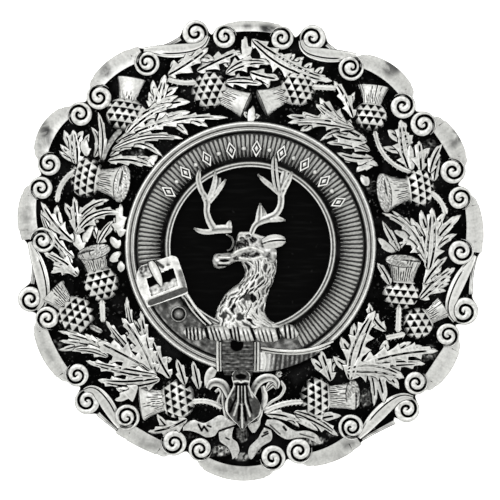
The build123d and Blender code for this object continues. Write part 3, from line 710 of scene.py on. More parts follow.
class Tree(Graph):
    """Builds one node tree that repeats forms over a piece."""

    def __init__(self, name: str, **inputs: tuple[str, object]) -> None:
        """Starts a tree.

        Args:
            name: The tree's name.
            inputs: Each named input's socket type and value.
        """
        super().__init__(bpy.data.node_groups.new(name, "GeometryNodeTree"))
        for side in ("INPUT", "OUTPUT"):
            self.tree.interface.new_socket(name="Geometry", in_out=side, socket_type="NodeSocketGeometry")
        self.values = {}
        for label, (kind, value) in inputs.items():
            kind = f"NodeSocket{kind}"
            socket = self.tree.interface.new_socket(name=label, in_out="INPUT", socket_type=kind)
            self.values[socket.identifier] = value
        self.inputs = self.add("NodeGroupInput").outputs

    def named(self, name: str) -> bpy.types.NodeSocket:
        """Reads a number that each point carries."""
        return self.add("GeometryNodeInputNamedAttribute", {"Name": name}, data_type="FLOAT").outputs[0]

    def place(self, points: object, form: object, **turns: object) -> bpy.types.NodeSocket:
        """Sets a form on points; turns are the node's Rotation and Scale."""
        inputs = {"Points": points, "Instance": form, **turns}
        return self.add("GeometryNodeInstanceOnPoints", inputs).outputs[0]

    def form(self, label: str) -> bpy.types.NodeSocket:
        """The geometry of the object in a named input."""
        return self.add("GeometryNodeObjectInfo", {"Object": self.inputs[label]}).outputs["Geometry"]

    def axes(self, **values: object) -> bpy.types.NodeSocket:
        """Joins numbers into a vector by its X, Y and Z."""
        return self.add("ShaderNodeCombineXYZ", values).outputs[0]

    def end(self, geometry: bpy.types.NodeSocket) -> None:
        """Realizes the instances, sets the material and closes the tree."""
        real = self.add("GeometryNodeRealizeInstances", {0: geometry})
        inputs = {0: real.outputs[0], "Material": self.inputs["Material"]}
        dressed = self.add("GeometryNodeSetMaterial", inputs)
        self.add("NodeGroupOutput", {0: dressed.outputs[0]})

    def apply(self, name: str, start: bpy.types.Mesh) -> bpy.types.Object:
        """Runs the tree on a mesh and gives the plain result.

        Args:
            name: The finished piece's name.
            start: The mesh that the tree starts from.

        Returns:
            A plain mesh object with no modifier left.
        """
        carrier = put(f"{name}_start", start)
        modifier = carrier.modifiers.new(name, "NODES")
        modifier.node_group = self.tree
        for identifier, value in self.values.items():
            modifier[identifier] = value
        view = bpy.context.evaluated_depsgraph_get()
        mesh = bpy.data.meshes.new_from_object(carrier.evaluated_get(view))
        carrier.modifiers.remove(modifier)
        bpy.data.objects.remove(carrier)
        mesh.name = name
        return put(name, soften(mesh))


def points_mesh(name: str, points: Sequence[Triple], **layers: Sequence[float]) -> bpy.types.Mesh:
    """A mesh of loose points that carry named numbers."""
    mesh = bpy.data.meshes.new(name)
    mesh.from_pydata(points, [], [])
    for label, values in layers.items():
        mesh.attributes.new(label, "FLOAT", "POINT").data.foreach_set("value", list(values))
    return mesh


def repeat_form(
    name: str, form: bpy.types.Mesh, spots: Sequence[tuple[float, ...]], material: bpy.types.Material
) -> bpy.types.Object:
    """Sets a form on many spots by a node tree.

    Args:
        name: The piece's name.
        form: The form, in metres, about its own middle.
        spots: Rows of x, y, z, turn in radians and size.
        material: The finish.

    Returns:
        The finished piece.
    """
    carrier = put(f"{name}_form", form)
    tree = Tree(f"{name}_repeat", Form=("Object", carrier), Material=("Material", material))
    size = tree.named("size")
    scale = tree.axes(X=size, Y=size, Z=1.0)
    turn = tree.axes(Z=tree.named("turn"))
    tree.end(tree.place(tree.inputs["Geometry"], tree.form("Form"), Rotation=turn, Scale=scale))
    *places, turns, sizes = zip(*spots)
    start = points_mesh(f"{name}_spots", list(zip(*places)), turn=turns, size=sizes)
    piece = tree.apply(name, start)
    bpy.data.objects.remove(carrier)
    return piece


class Bow(NamedTuple):
    """A circular arc on the sheet."""

    x: float
    y: float
    radius: float
    start: float
    sweep: float

    def at(self, share: float) -> Pair:
        """The point at a share of the arc."""
        angle = self.start + self.sweep * share
        return self.x + self.radius * math.cos(angle), self.y + self.radius * math.sin(angle)


def bow_through(start: Pair, middle: Pair, end: Pair) -> Bow:
    """The arc from start through middle to end."""
    (ax, ay), (bx, by), (cx, cy) = start, middle, end
    area = 2 * (ax * (by - cy) + bx * (cy - ay) + cx * (ay - by))
    a, b, c = ax * ax + ay * ay, bx * bx + by * by, cx * cx + cy * cy
    x = (a * (by - cy) + b * (cy - ay) + c * (ay - by)) / area
    y = (a * (cx - bx) + b * (ax - cx) + c * (bx - ax)) / area
    first = math.atan2(ay - y, ax - x)
    to_end = (math.atan2(cy - y, cx - x) - first) % math.tau
    to_middle = (math.atan2(by - y, bx - x) - first) % math.tau
    if to_middle > to_end:
        to_end -= math.tau
    return Bow(x, y, math.hypot(ax - x, ay - y), first, to_end)


class Curl(NamedTuple):
    """A curl's centre, size and hand, and how far the lobe's outer edge stands out past it."""

    x: float
    y: float
    size: float
    hand: int
    lip: float = 0.0


class Lobe(NamedTuple):
    """A border lobe between two curls, with its outer radius at the middle and its band's width.

    The lips are how far its outer edge stands out past its first and its last curl.
    """

    x: float
    y: float
    end_x: float
    end_y: float
    crown: float
    size: float
    end_size: float
    hand: int
    end_hand: int
    band: float
    lip: float = 4.2
    end_lip: float = 4.2

    @property
    def curls(self) -> tuple[Curl, Curl]:
        """Its first and its last curl."""
        return (
            Curl(self.x, self.y, self.size, self.hand, self.lip),
            Curl(self.end_x, self.end_y, self.end_size, self.end_hand, self.end_lip),
        )


class Scroll(NamedTuple):
    """A scroll from its free outer curl to the curl that it shares with a lobe.

    The thin flange outside it stands out by flange at its middle, and at its start by root, a share of
    the curl's size.
    """

    x: float
    y: float
    end_x: float
    end_y: float
    size: float
    width: float
    flange: float
    turn: int
    root: float

    @property
    def curl(self) -> Curl:
        """Its free outer curl."""
        return Curl(self.x, self.y, self.size, self.turn)


LOBES = (
    Lobe(224.5, 36.5, 282, 38, 226.5, 11, 11, 1, -1, 10.5, 2.5, 2.5),
    Lobe(351, 68, 403, 106, 232.5, 12, 12, -1, -1, 17.5, 4.2, 5.9),
    Lobe(423, 124, 453, 171, 237.5, 12, 12, 1, -1, 18.5),
    Lobe(460, 198, 461, 252, 235.5, 11, 12, 1, -1, 16.5, 4.2, 9.0),
    Lobe(448, 335, 416, 383, 237, 11, 11, 1, -1, 19),
    Lobe(351, 427, 299, 451, 231, 12, 12, -1, -1, 16, 8.5, 4.2),
    Lobe(273, 458, 200, 449.5, 234, 12, 11, 1, -1, 14.5),
    Lobe(174, 443, 127, 417, 228.5, 12, 12, 1, 1, 16, 5.2, 8.0),
    Lobe(77, 375, 47, 318, 235, 11, 11, 1, -1, 16.5),
    Lobe(43, 240, 41, 188, 234.5, 12, 11, -1, -1, 18.5, 9.5, 4.2),
    Lobe(49, 164, 80, 114, 241, 11, 11.5, 1, -1, 17, 4.2, 2.5),
    Lobe(99, 97, 147, 63, 234, 12, 12, 1, 1, 16, 4.2, 7.0),
)
SCROLLS = (
    Scroll(313, 37.5, 351, 68, 12.3, 12, 6, -1, 0.5),
    Scroll(465, 311, 461, 252, 13, 12, 11, 1, 0.74),
    Scroll(407, 410, 351, 427, 12, 12, 13, -1, 0.85),
    Scroll(87, 402, 127, 417, 12, 12, 12.5, 1, 0.75),
    Scroll(30, 299, 43, 240, 12, 12, 5.5, -1, 0.3),
    Scroll(195, 32.5, 147, 63, 12.3, 12, 6.5, 1, 0.45),
)


class Course(NamedTuple):
    """A scroll band's place: shares of its length along, its curl's size outwards and its half width."""

    along: float
    outwards: float
    half: float


COURSE = (
    Course(-0.16, -0.8, 0.35),
    Course(-0.04, -1.1, 0.55),
    Course(0.1, -1.12, 0.75),
    Course(0.26, -0.86, 1.0),
    Course(0.45, -0.42, 1.1),
    Course(0.62, 0.06, 1.0),
    Course(0.78, 0.6, 0.7),
    Course(0.92, 1.08, 0.3),
)


CURL_SIZE = 12.0  # outer radius, in sheet units, of the curl that the two tables below give


class Turn(NamedTuple):
    """A curl's strip after some turns from its start: its outer and inner radius."""

    turns: float
    outer: float
    inner: float


FREE_CURL = (
    Turn(0.0, 13.3, 12.6),
    Turn(0.12, 13.0, 12.0),
    Turn(0.25, 12.8, 11.2),
    Turn(0.38, 12.5, 10.0),
    Turn(0.5, 12.3, 8.8),
    Turn(0.62, 12.3, 7.8),
    Turn(0.75, 12.3, 7.0),
    Turn(0.9, 12.0, 6.3),
    Turn(1.0, 11.0, 5.9),
    Turn(1.12, 9.7, 5.4),
    Turn(1.25, 8.4, 4.6),
    Turn(1.36, 7.3, 2.8),
    Turn(1.45, 6.5, 0.9),
    Turn(1.6, 5.3, 0.2),
    Turn(1.75, 4.3, 0.2),
    Turn(2.0, 3.1, 0.2),
    Turn(2.2, 1.9, 0.2),
)
SHARED_CURL = (
    Turn(0.0, 13.3, 12.4),
    Turn(0.12, 12.9, 11.2),
    Turn(0.25, 12.6, 9.9),
    Turn(0.5, 12.4, 9.3),
    Turn(0.75, 12.3, 9.0),
    Turn(0.9, 11.9, 8.4),
    Turn(1.0, 10.0, 7.6),
    Turn(1.12, 8.4, 6.2),
    Turn(1.25, 7.1, 4.6),
    Turn(1.4, 6.7, 2.6),
    Turn(1.5, 6.6, 1.3),
    Turn(1.75, 6.3, 0.3),
    Turn(2.0, 5.0, 0.3),
    Turn(2.2, 2.2, 0.3),
)
STAINS = (
    Mark(45, 135, 7, 15, 0, 1.0),
    Mark(105, 70, 7, 9, 0, 1.0),
    Mark(267, 28, 9, 5, 0, 1.0),
    Mark(247, 27, 6, 3, 0, 0.8),
    Mark(284, 33, 4, 3, 0, 0.8),
    Mark(392, 67, 10, 9, 0, 0.9),
    Mark(456, 138, 6, 10, 0, 0.85),
    Mark(24, 215, 5, 11, 0, 0.45),
    Mark(150, 444, 14, 6, 0, 0.6),
    Mark(237, 468, 22, 5, 0, 0.5),
    Mark(348, 444, 9, 5, 0, 0.6),
    Mark(345, 459, 12, 4, 0, 0.4),
    Mark(50, 355, 5, 8, 0, 0.35),
)


WORN_GROUND = (
    Mark(221, 451, 10, 6.5, 0, 0.95),
    Mark(242, 457, 9, 5, 0, 0.95),
    Mark(262, 453, 8, 4, 0, 0.6),
    Mark(313, 441, 16, 5, 0, 0.9),
    Mark(334, 434, 8, 4, 0, 0.7),
    Mark(243, 436, 6, 8, 0, 0.7),
    Mark(186, 437, 9, 3, 0, 0.5),
    Mark(268, 397, 7, 5, 0, 0.3),
    Mark(430, 353, 9, 9, 0, 0.7),
    Mark(418, 361, 9, 6, 0, 0.6),
    Mark(430, 145, 10, 7, 0, 0.55),
    Mark(447, 225, 6, 12, 0, 0.55),
    Mark(121, 106, 10, 7, 0, 0.5),
    Mark(138, 153, 8, 5, 0, 0.6),
    Mark(58, 345, 7, 9, 0, 0.5),
    Mark(66, 228, 9, 7, 0, 0.35),
    Mark(104, 312, 8, 5, 0, 0.35),
    Mark(366, 398, 7, 11, 0, 0.65),
    Mark(374, 187, 9, 9, 0, 0.5),
)


@dataclass
class Plate:
    """The cast plate with its lobed outline, domed ground and hollow back, and the bezel.

    Attributes:
        drawing: The sheet and the dome.
        rays: Number of points round the outline.
        rings: Number of rows on the ground.
        base_circle: Radius of the plate inside the lobes, in sheet units.
        ledge: How far the plate shows round a curl.
        rounding: The share of a lobe's edge over which it rounds off at an end.
        joint: The smallest lip of a lobe at a curl that a scroll joins.
        seat: How far out a band's inner edge meets a curl, as a share of the curl's size.
        lead: How far along a scroll its flange starts, as a share of its curl's size.
        inset: How far the edge is cast inside its outline, in sheet units.
        edge_samples: Number of steps along an edge when the outline is taken.
        curl_samples: Number of steps round a curl.
        floor_wall: Thickness of the floor under the badge, in metres.
        plate_wall: Thickness of the dome.
        hollow_radius: Radius of the hollow in the back.
        hollow_shares: The hollow's rows as shares of its radius.
    """

    drawing: Drawing
    rays: int = 720
    rings: int = 46
    base_circle: float = 215.0
    ledge: float = 0.7
    rounding: float = 0.13
    joint: float = 6.0
    seat: float = 0.3
    lead: float = 1.1
    inset: float = 0.4
    edge_samples: int = 600
    curl_samples: int = 400
    floor_wall: float = 0.00115
    plate_wall: float = 0.0014
    hollow_radius: float = 0.0336
    hollow_shares: tuple[float, ...] = (1.0, 0.96, 0.88, 0.78, 0.68, 0.615, 0.6, 0.5, 0.3, 0.1, 0.0006)

    def outward(self, x: float, y: float) -> Pair:
        """The direction from the border's centre to a point."""
        return aim((self.drawing.border_x, self.drawing.border_y), (x, y))[1:]

    def crown(self, lobe: Lobe, radius: float) -> Pair:
        """The point at a radius over the middle of a lobe."""
        out = self.outward((lobe.x + lobe.end_x) / 2, (lobe.y + lobe.end_y) / 2)
        return self.drawing.border_x + out[0] * radius, self.drawing.border_y + out[1] * radius

    def shifted(self, x: float, y: float, distance: float) -> Pair:
        """A point moved outwards by a distance."""
        out = self.outward(x, y)
        return x + out[0] * distance, y + out[1] * distance

    def outer_bow(self, lobe: Lobe) -> Bow:
        """A lobe's outer edge."""
        start, end = (self.shifted(curl.x, curl.y, curl.size + curl.lip) for curl in lobe.curls)
        return bow_through(start, self.crown(lobe, lobe.crown), end)

    def edge(self, lobe: Lobe, share: float) -> Pair:
        """A point of a lobe's outer edge, which rounds off to its curls where no scroll runs on."""
        x, y = self.outer_bow(lobe).at(share)
        near, lip = (1 - share, lobe.end_lip) if share > 0.5 else (share, lobe.lip)
        fall = lip * (1 - min(near / self.rounding, 1.0)) ** 2 if lip < self.joint else 0.0
        return self.shifted(x, y, -fall)

    def inner_bow(self, lobe: Lobe) -> Bow:
        """The inner edge of a lobe's band, from one curl to the other."""
        start, end = (self.shifted(curl.x, curl.y, self.seat * curl.size) for curl in lobe.curls)
        return bow_through(start, self.crown(lobe, lobe.crown - lobe.band), end)

    def axes(self, scroll: Scroll) -> tuple[float, float, float, float, float]:
        """A scroll's length, its direction and the direction to its outer side."""
        run, along_x, along_y = aim((scroll.x, scroll.y), (scroll.end_x, scroll.end_y))
        return run, along_x, along_y, -along_y * scroll.turn, along_x * scroll.turn

    def flange_bow(self, scroll: Scroll) -> Bow:
        """The thin edge outside a scroll's band."""
        _, along_x, along_y, out_x, out_y = self.axes(scroll)
        lips = {(curl.x, curl.y): curl.lip for lobe in LOBES for curl in lobe.curls}
        root, onward = scroll.size * scroll.root, scroll.size * self.lead
        reach = CURL_SIZE + lips[scroll.end_x, scroll.end_y] - 1
        middle_x, middle_y = (scroll.x + scroll.end_x) / 2, (scroll.y + scroll.end_y) / 2
        return bow_through(
            (scroll.x + along_x * onward + out_x * root, scroll.y + along_y * onward + out_y * root),
            (middle_x + out_x * scroll.flange, middle_y + out_y * scroll.flange),
            (scroll.end_x + out_x * reach, scroll.end_y + out_y * reach),
        )

    def outline(self) -> list[float]:
        """The plate's radius about the border's centre, in sheet units, for each ray."""
        centre = self.drawing.border_x, self.drawing.border_y
        radii = [self.base_circle] * self.rays

        def take(x: float, y: float) -> None:
            """Widens the outline to hold a point."""
            angle = math.atan2(y - centre[1], x - centre[0])
            index = round(angle / math.tau * self.rays) % self.rays
            reach = math.hypot(x - centre[0], y - centre[1])
            radii[index] = max(radii[index], reach)

        for count in range(self.edge_samples + 1):
            share = count / self.edge_samples
            for lobe in LOBES:
                take(*self.edge(lobe, share))
            for scroll in SCROLLS:
                take(*self.flange_bow(scroll).at(share))
        curls = [curl for lobe in LOBES for curl in lobe.curls] + [scroll.curl for scroll in SCROLLS]
        for curl in curls:
            reach = curl.size + self.ledge
            for count in range(self.curl_samples):
                angle = math.tau * count / self.curl_samples
                take(curl.x + reach * math.cos(angle), curl.y + reach * math.sin(angle))
        for _ in range(2):
            before, after = radii[-1:] + radii[:-1], radii[1:] + radii[:1]
            radii = [(a + 2 * b + c) / 4 for a, b, c in zip(before, radii, after)]
        return radii

    def wear(self, x: float, y: float) -> float:
        """How much brighter the ground is at a place of the sheet, where it is rough and worn."""
        return strongest(WORN_GROUND, x, y, 1.25, 0.6) * max(0.62 + 0.9 * ripple(x, y, 2.4, 17.0), 0.0)

    def body(self) -> Casting:
        """The plate itself as one closed form, from the middle of its front round to its back."""
        drawing = self.drawing
        casting = drawing.on_dome()
        radii = self.outline()
        ring_x, ring_y = drawing.ring_middle
        ceiling = drawing.floor_height - self.floor_wall

        def at(height: float) -> Ground:
            """A flat ground at a height."""
            return lambda x, y: height

        def under(drop: float) -> Ground:
            """A ground that lies under the dome by a drop."""
            return lambda x, y: drawing.dome(x, y) - drop

        def circle(radius: float, level: Ground, tone: float) -> list[Corner]:
            """A loop about the strap's centre."""
            loop = []
            for index in range(self.rays):
                angle = -math.tau * index / self.rays
                x, y = ring_x + radius * math.cos(angle), ring_y + radius * math.sin(angle)
                loop.append((x, y, level(x, y), tone))
            return loop

        def border(inwards: float, level: Ground, tone: float) -> list[Corner]:
            """A loop that follows the outline."""
            loop = []
            for index, radius in enumerate(radii):
                angle = math.tau * index / self.rays
                reach = radius - self.inset - inwards
                x, y = drawing.place(
                    drawing.border_x + reach * math.cos(angle), drawing.border_y + reach * math.sin(angle)
                )
                loop.append((x, y, level(x, y), tone))
            return loop

        def inner_dome(x: float, y: float) -> float:
            """The hollow's height over a point."""
            reach = (x - ring_x) ** 2 + (y - ring_y) ** 2
            height = drawing.sphere_centre + math.sqrt((drawing.sphere_radius - self.plate_wall) ** 2 - reach)
            return min(height, ceiling)

        floor = at(drawing.floor_height)
        rows = [circle(radius, floor, 0.0) for radius in (0.00002, 0.010, drawing.bezel_outer)]
        smooth_rows = len(rows)
        start = circle(drawing.bezel_outer + 0.00005, drawing.dome, 0.0)
        end = border(1.4, drawing.dome, 0.3)
        for ring in range(self.rings + 1):
            share = ring / self.rings
            row = []
            for (ax, ay, _, _), (bx, by, _, _) in zip(start, end):
                x, y = ax + (bx - ax) * share, ay + (by - ay) * share
                coarse, fine = Vector((x, y, 0.0)) * 2600, Vector((x, y, 3.0)) * 5200
                lump = noise.noise(coarse) * 0.5 + noise.noise(fine) * 0.5
                tone = 0.05 + 0.35 * max(lump, 0.0) + self.wear(*drawing.sheet(x, y))
                row.append((x, y, drawing.dome(x, y) + 0.00014 * lump, tone))
            rows.append(row)
        rows.append(border(0.5, under(0.00005), 0.85))
        gritty = range(self.rays * smooth_rows, self.rays * len(rows))
        sides = (
            (0.0, under(0.0003), 0.8),
            (0.0, at(0.0011), 0.7),
            (0.0, at(0.0003), 0.75),
            (1.5, at(0.0), 0.8),
        )
        rows += [border(*side) for side in sides]
        rows.append(circle(self.hollow_radius + 0.0003, at(0.0), 0.75))
        rows.append(circle(self.hollow_radius, at(0.0003), 0.6))
        rows += [circle(self.hollow_radius * share, inner_dome, 0.55) for share in self.hollow_shares]
        casting.loft(rows)
        casting.grits = [float(index in gritty) for index in range(len(casting.points))]
        return casting

    def stipple_ground(self) -> bpy.types.Mesh:
        """The part of the dome that carries the stippling."""
        drawing = self.drawing
        centre = drawing.place(drawing.border_x, drawing.border_y)
        points, faces = [], []
        rays, rings = 180, 12
        inner, outer = 127.5, 213.0
        for ring in range(rings + 1):
            reach = (inner + (outer - inner) * ring / rings) * drawing.unit
            for ray in range(rays):
                angle = math.tau * ray / rays
                x, y = centre[0] + reach * math.cos(angle), centre[1] + reach * math.sin(angle)
                points.append((x, y, drawing.dome(x, y) - 0.00002))
        for ring in range(rings):
            for ray in range(rays):
                here, after = ring * rays + ray, ring * rays + (ray + 1) % rays
                faces.append((here, after, after + rays, here + rays))
        mesh = bpy.data.meshes.new("stipple_ground")
        mesh.from_pydata(points, [], faces)
        return mesh

    def stipple(self, material: bpy.types.Material) -> bpy.types.Object:
        """Fine punched grains all over the ground, by a node tree."""
        tree = Tree(
            "ground_stipple",
            Density=("Float", 1.7e6),
            Seed=("Int", 11),
            Smallest=("Float", 0.00010),
            Largest=("Float", 0.00030),
            Material=("Material", material),
        )
        spots = tree.add(
            "GeometryNodeDistributePointsOnFaces",
            {"Mesh": tree.inputs["Geometry"], "Density": tree.inputs["Density"], "Seed": tree.inputs["Seed"]},
            distribute_method="RANDOM",
        )
        grain = tree.add("GeometryNodeMeshIcoSphere", {"Radius": 1.0, "Subdivisions": 1})
        size = tree.add(
            "FunctionNodeRandomValue",
            {2: tree.inputs["Smallest"], 3: tree.inputs["Largest"], "Seed": tree.inputs["Seed"]},
            data_type="FLOAT",
        )
        placed = tree.place(spots.outputs["Points"], grain.outputs["Mesh"], Scale=size.outputs[1])
        shade = tree.add("FunctionNodeRandomValue", {2: 0.0, 3: 0.43, "Seed": 5}, data_type="FLOAT")
        toned = tree.add(
            "GeometryNodeStoreNamedAttribute",
            {"Geometry": placed, "Name": "tone", "Value": shade.outputs[1]},
            data_type="FLOAT",
            domain="INSTANCE",
        )
        tree.end(toned.outputs[0])
        return tree.apply("ground_stipple", self.stipple_ground())

    def bezel(self) -> Casting:
        """The bright raised ring round the badge."""
        rows = (
            (119.5, 7.75, 0.0),
            (119.5, 9.3, 0.75),
            (120.1, 9.5, 0.95),
            (121.5, 9.6, 0.9),
            (122.3, 9.5, 0.74),
            (123.0, 9.56, 0.92),
            (124.3, 9.5, 0.95),
            (125.1, 9.2, 0.82),
            (125.7, 8.6, 0.35),
            (125.9, 7.2, 0.0),
            (124.0, 7.0, 0.0),
        )
        casting = self.drawing.on_dome()
        casting.ring(self.drawing.ring_middle, self.drawing.profile(rows), 480)
        return casting


@dataclass
class ScrollBorder:
    """The twelve lobes, the six scrolls between them and their curls.

    Attributes:
        plate: The plate that they stand on.
        gap: How far a band keeps from a curl's middle, as a share of its size.
        rise: Height of the bands above the ground, in metres.
        flange_rise: Height of the flanges.
        curl_rise: Height of the curls.
        band_steps: Number of steps along a lobe's band.
        flange_steps: Number of steps along a flange.
        lobe_back: Turns from the start of a lobe's curl to the side that faces outwards.
        scroll_back: The same for a scroll's free curl.
    """

    plate: Plate
    gap: float = 0.9
    rise: float = 0.00105
    flange_rise: float = 0.00055
    curl_rise: float = 0.00135
    band_steps: int = 64
    flange_steps: int = 24
    lobe_back: float = 0.25
    scroll_back: float = 0.5

    def clear(self, start: Pair, end: Pair, curl: Curl) -> float:
        """How much of a run from start to end lies before a curl's disc, as a share."""
        radius = curl.size * self.gap
        run_x, run_y = end[0] - start[0], end[1] - start[1]
        from_x, from_y = start[0] - curl.x, start[1] - curl.y
        square = run_x**2 + run_y**2
        half = (from_x * run_x + from_y * run_y) / square
        inside = half**2 - (from_x**2 + from_y**2 - radius**2) / square
        if inside <= 0 or -half - math.sqrt(inside) < 0:
            return 1.0
        return min(-half - math.sqrt(inside), 1.0)

    def bands(self) -> Casting:
        """The broad polished bands of the lobes, each cut out round its two curls."""
        drawing = self.plate.drawing
        casting = drawing.on_dome()
        section = Section(crown=0.12, edge=1.4, skirt=0.1, top=0.82, rim=0.9, mottle=0.07)
        for lobe in LOBES:
            inner = self.plate.inner_bow(lobe)
            nodes = []
            for count in range(self.band_steps + 1):
                along = count / self.band_steps
                (ox, oy), (ix, iy) = self.plate.edge(lobe, along), inner.at(along)
                share = min(self.clear((ox, oy), (ix, iy), curl) for curl in lobe.curls)
                ix, iy = ox + (ix - ox) * share, oy + (iy - oy) * share
                nodes.append(Node((ox + ix) / 2, (oy + iy) / 2, math.dist((ox, oy), (ix, iy)) / 2))
            casting.sweep(nodes, section, self.rise)
        casting.smears = [strongest(STAINS, *drawing.sheet(x, y), 1.3, 0.5) for x, y, _ in casting.points]
        return casting

    def scroll_bands(self) -> Casting:
        """The S-shaped bands between the lobes, each with a cut line, and the thin flange outside it."""
        casting = self.plate.drawing.on_dome()
        casting.smear = 0.1
        for scroll in SCROLLS:
            run, along_x, along_y, out_x, out_y = self.plate.axes(scroll)
            rows = []
            for row in COURSE:
                along, out = row.along * run, row.outwards * scroll.size
                x = scroll.x + along_x * along + out_x * out
                y = scroll.y + along_y * along + out_y * out
                rows.append((x, y, row.half * scroll.width / 2))
            vein = -0.4 * scroll.turn
            section = Section(crown=0.22, veins=(vein,), cut=0.3, line=0.8, top=0.86, fade=0.62)
            casting.sweep(smooth(rows), section, self.rise)
        casting.smear = 0.55
        thin = Section(crown=0.3, edge=0.6, top=0.8)
        for scroll in SCROLLS:
            bow = self.plate.flange_bow(scroll)
            *_, out_x, out_y = self.plate.axes(scroll)
            nodes = []
            for count in range(self.flange_steps + 1):
                x, y = bow.at(0.04 + 0.8 * count / self.flange_steps)
                half = 1.9 - 1.1 * count / self.flange_steps
                nodes.append(Node(x - out_x * 2.3, y - out_y * 2.3, half))
            casting.sweep(nodes, thin, self.flange_rise)
        return casting

    def form(self, hand: int, rows: Sequence[Turn]) -> bpy.types.Mesh:
        """One curl of the tables' size, whose strip starts at its top and ends in a round eye.

        Args:
            hand: 1 winds leftward from the top, -1 rightward.
            rows: The strip's edges.

        Returns:
            The curl's mesh about its own middle.
        """
        made = self.plate.drawing.by_itself()
        steps = round(rows[-1].turns * 34)
        path = []
        for count in range(steps + 1):
            turns, outer, inner = between(rows, rows[-1].turns * count / steps)
            angle = math.pi / 2 + hand * math.tau * turns
            radius = (outer + inner) / 2
            path.append(Node(radius * math.cos(angle), radius * math.sin(angle), (outer - inner) / 2))
        section = Section(crown=0.04, edge=0.7, skirt=0.25, top=0.85, rim=0.93, mottle=0.25)
        made.sweep(path, section, self.curl_rise, ends=(0.94, 1.0))
        return made.mesh("curl")

    def curls(self, material: bpy.types.Material) -> list[bpy.types.Object]:
        """All the curls, by a node tree for each form."""
        drawing = self.plate.drawing
        spots: dict[tuple[int, bool], list] = {}
        shared = {(scroll.end_x, scroll.end_y, scroll.turn) for scroll in SCROLLS}
        curls = [(curl, self.lobe_back) for lobe in LOBES for curl in lobe.curls]
        curls += [(scroll.curl, self.scroll_back) for scroll in SCROLLS]
        for curl, back in curls:
            fed = (curl.x, curl.y, curl.hand) in shared
            out = self.plate.outward(curl.x, curl.y)
            turn = curl.hand * math.tau * (0.0 if fed else back)
            angle = math.atan2(-out[1], out[0]) - math.pi / 2 - turn
            place = drawing.place(curl.x, curl.y)
            row = (*place, drawing.dome(*place), angle, curl.size / CURL_SIZE)
            spots.setdefault((curl.hand, fed), []).append(row)
        pieces = []
        for (hand, fed), rows in spots.items():
            name = f"curls_{'left' if hand > 0 else 'right'}_{'shared' if fed else 'free'}"
            form = self.form(hand, SHARED_CURL if fed else FREE_CURL)
            pieces.append(repeat_form(name, form, rows, material))
        return pieces


class Leaf(NamedTuple):
    """A cut leaf: its main blade with its width, bow to the left and number of cut lines, and its lobes.

    Each lobe has the share of the way along at which it springs, its tip and its width.
    """

    x: float
    y: float
    tip_x: float
    tip_y: float
    width: float
    bend: float
    lines: int
    lobes: tuple[tuple[float, float, float, float], ...]


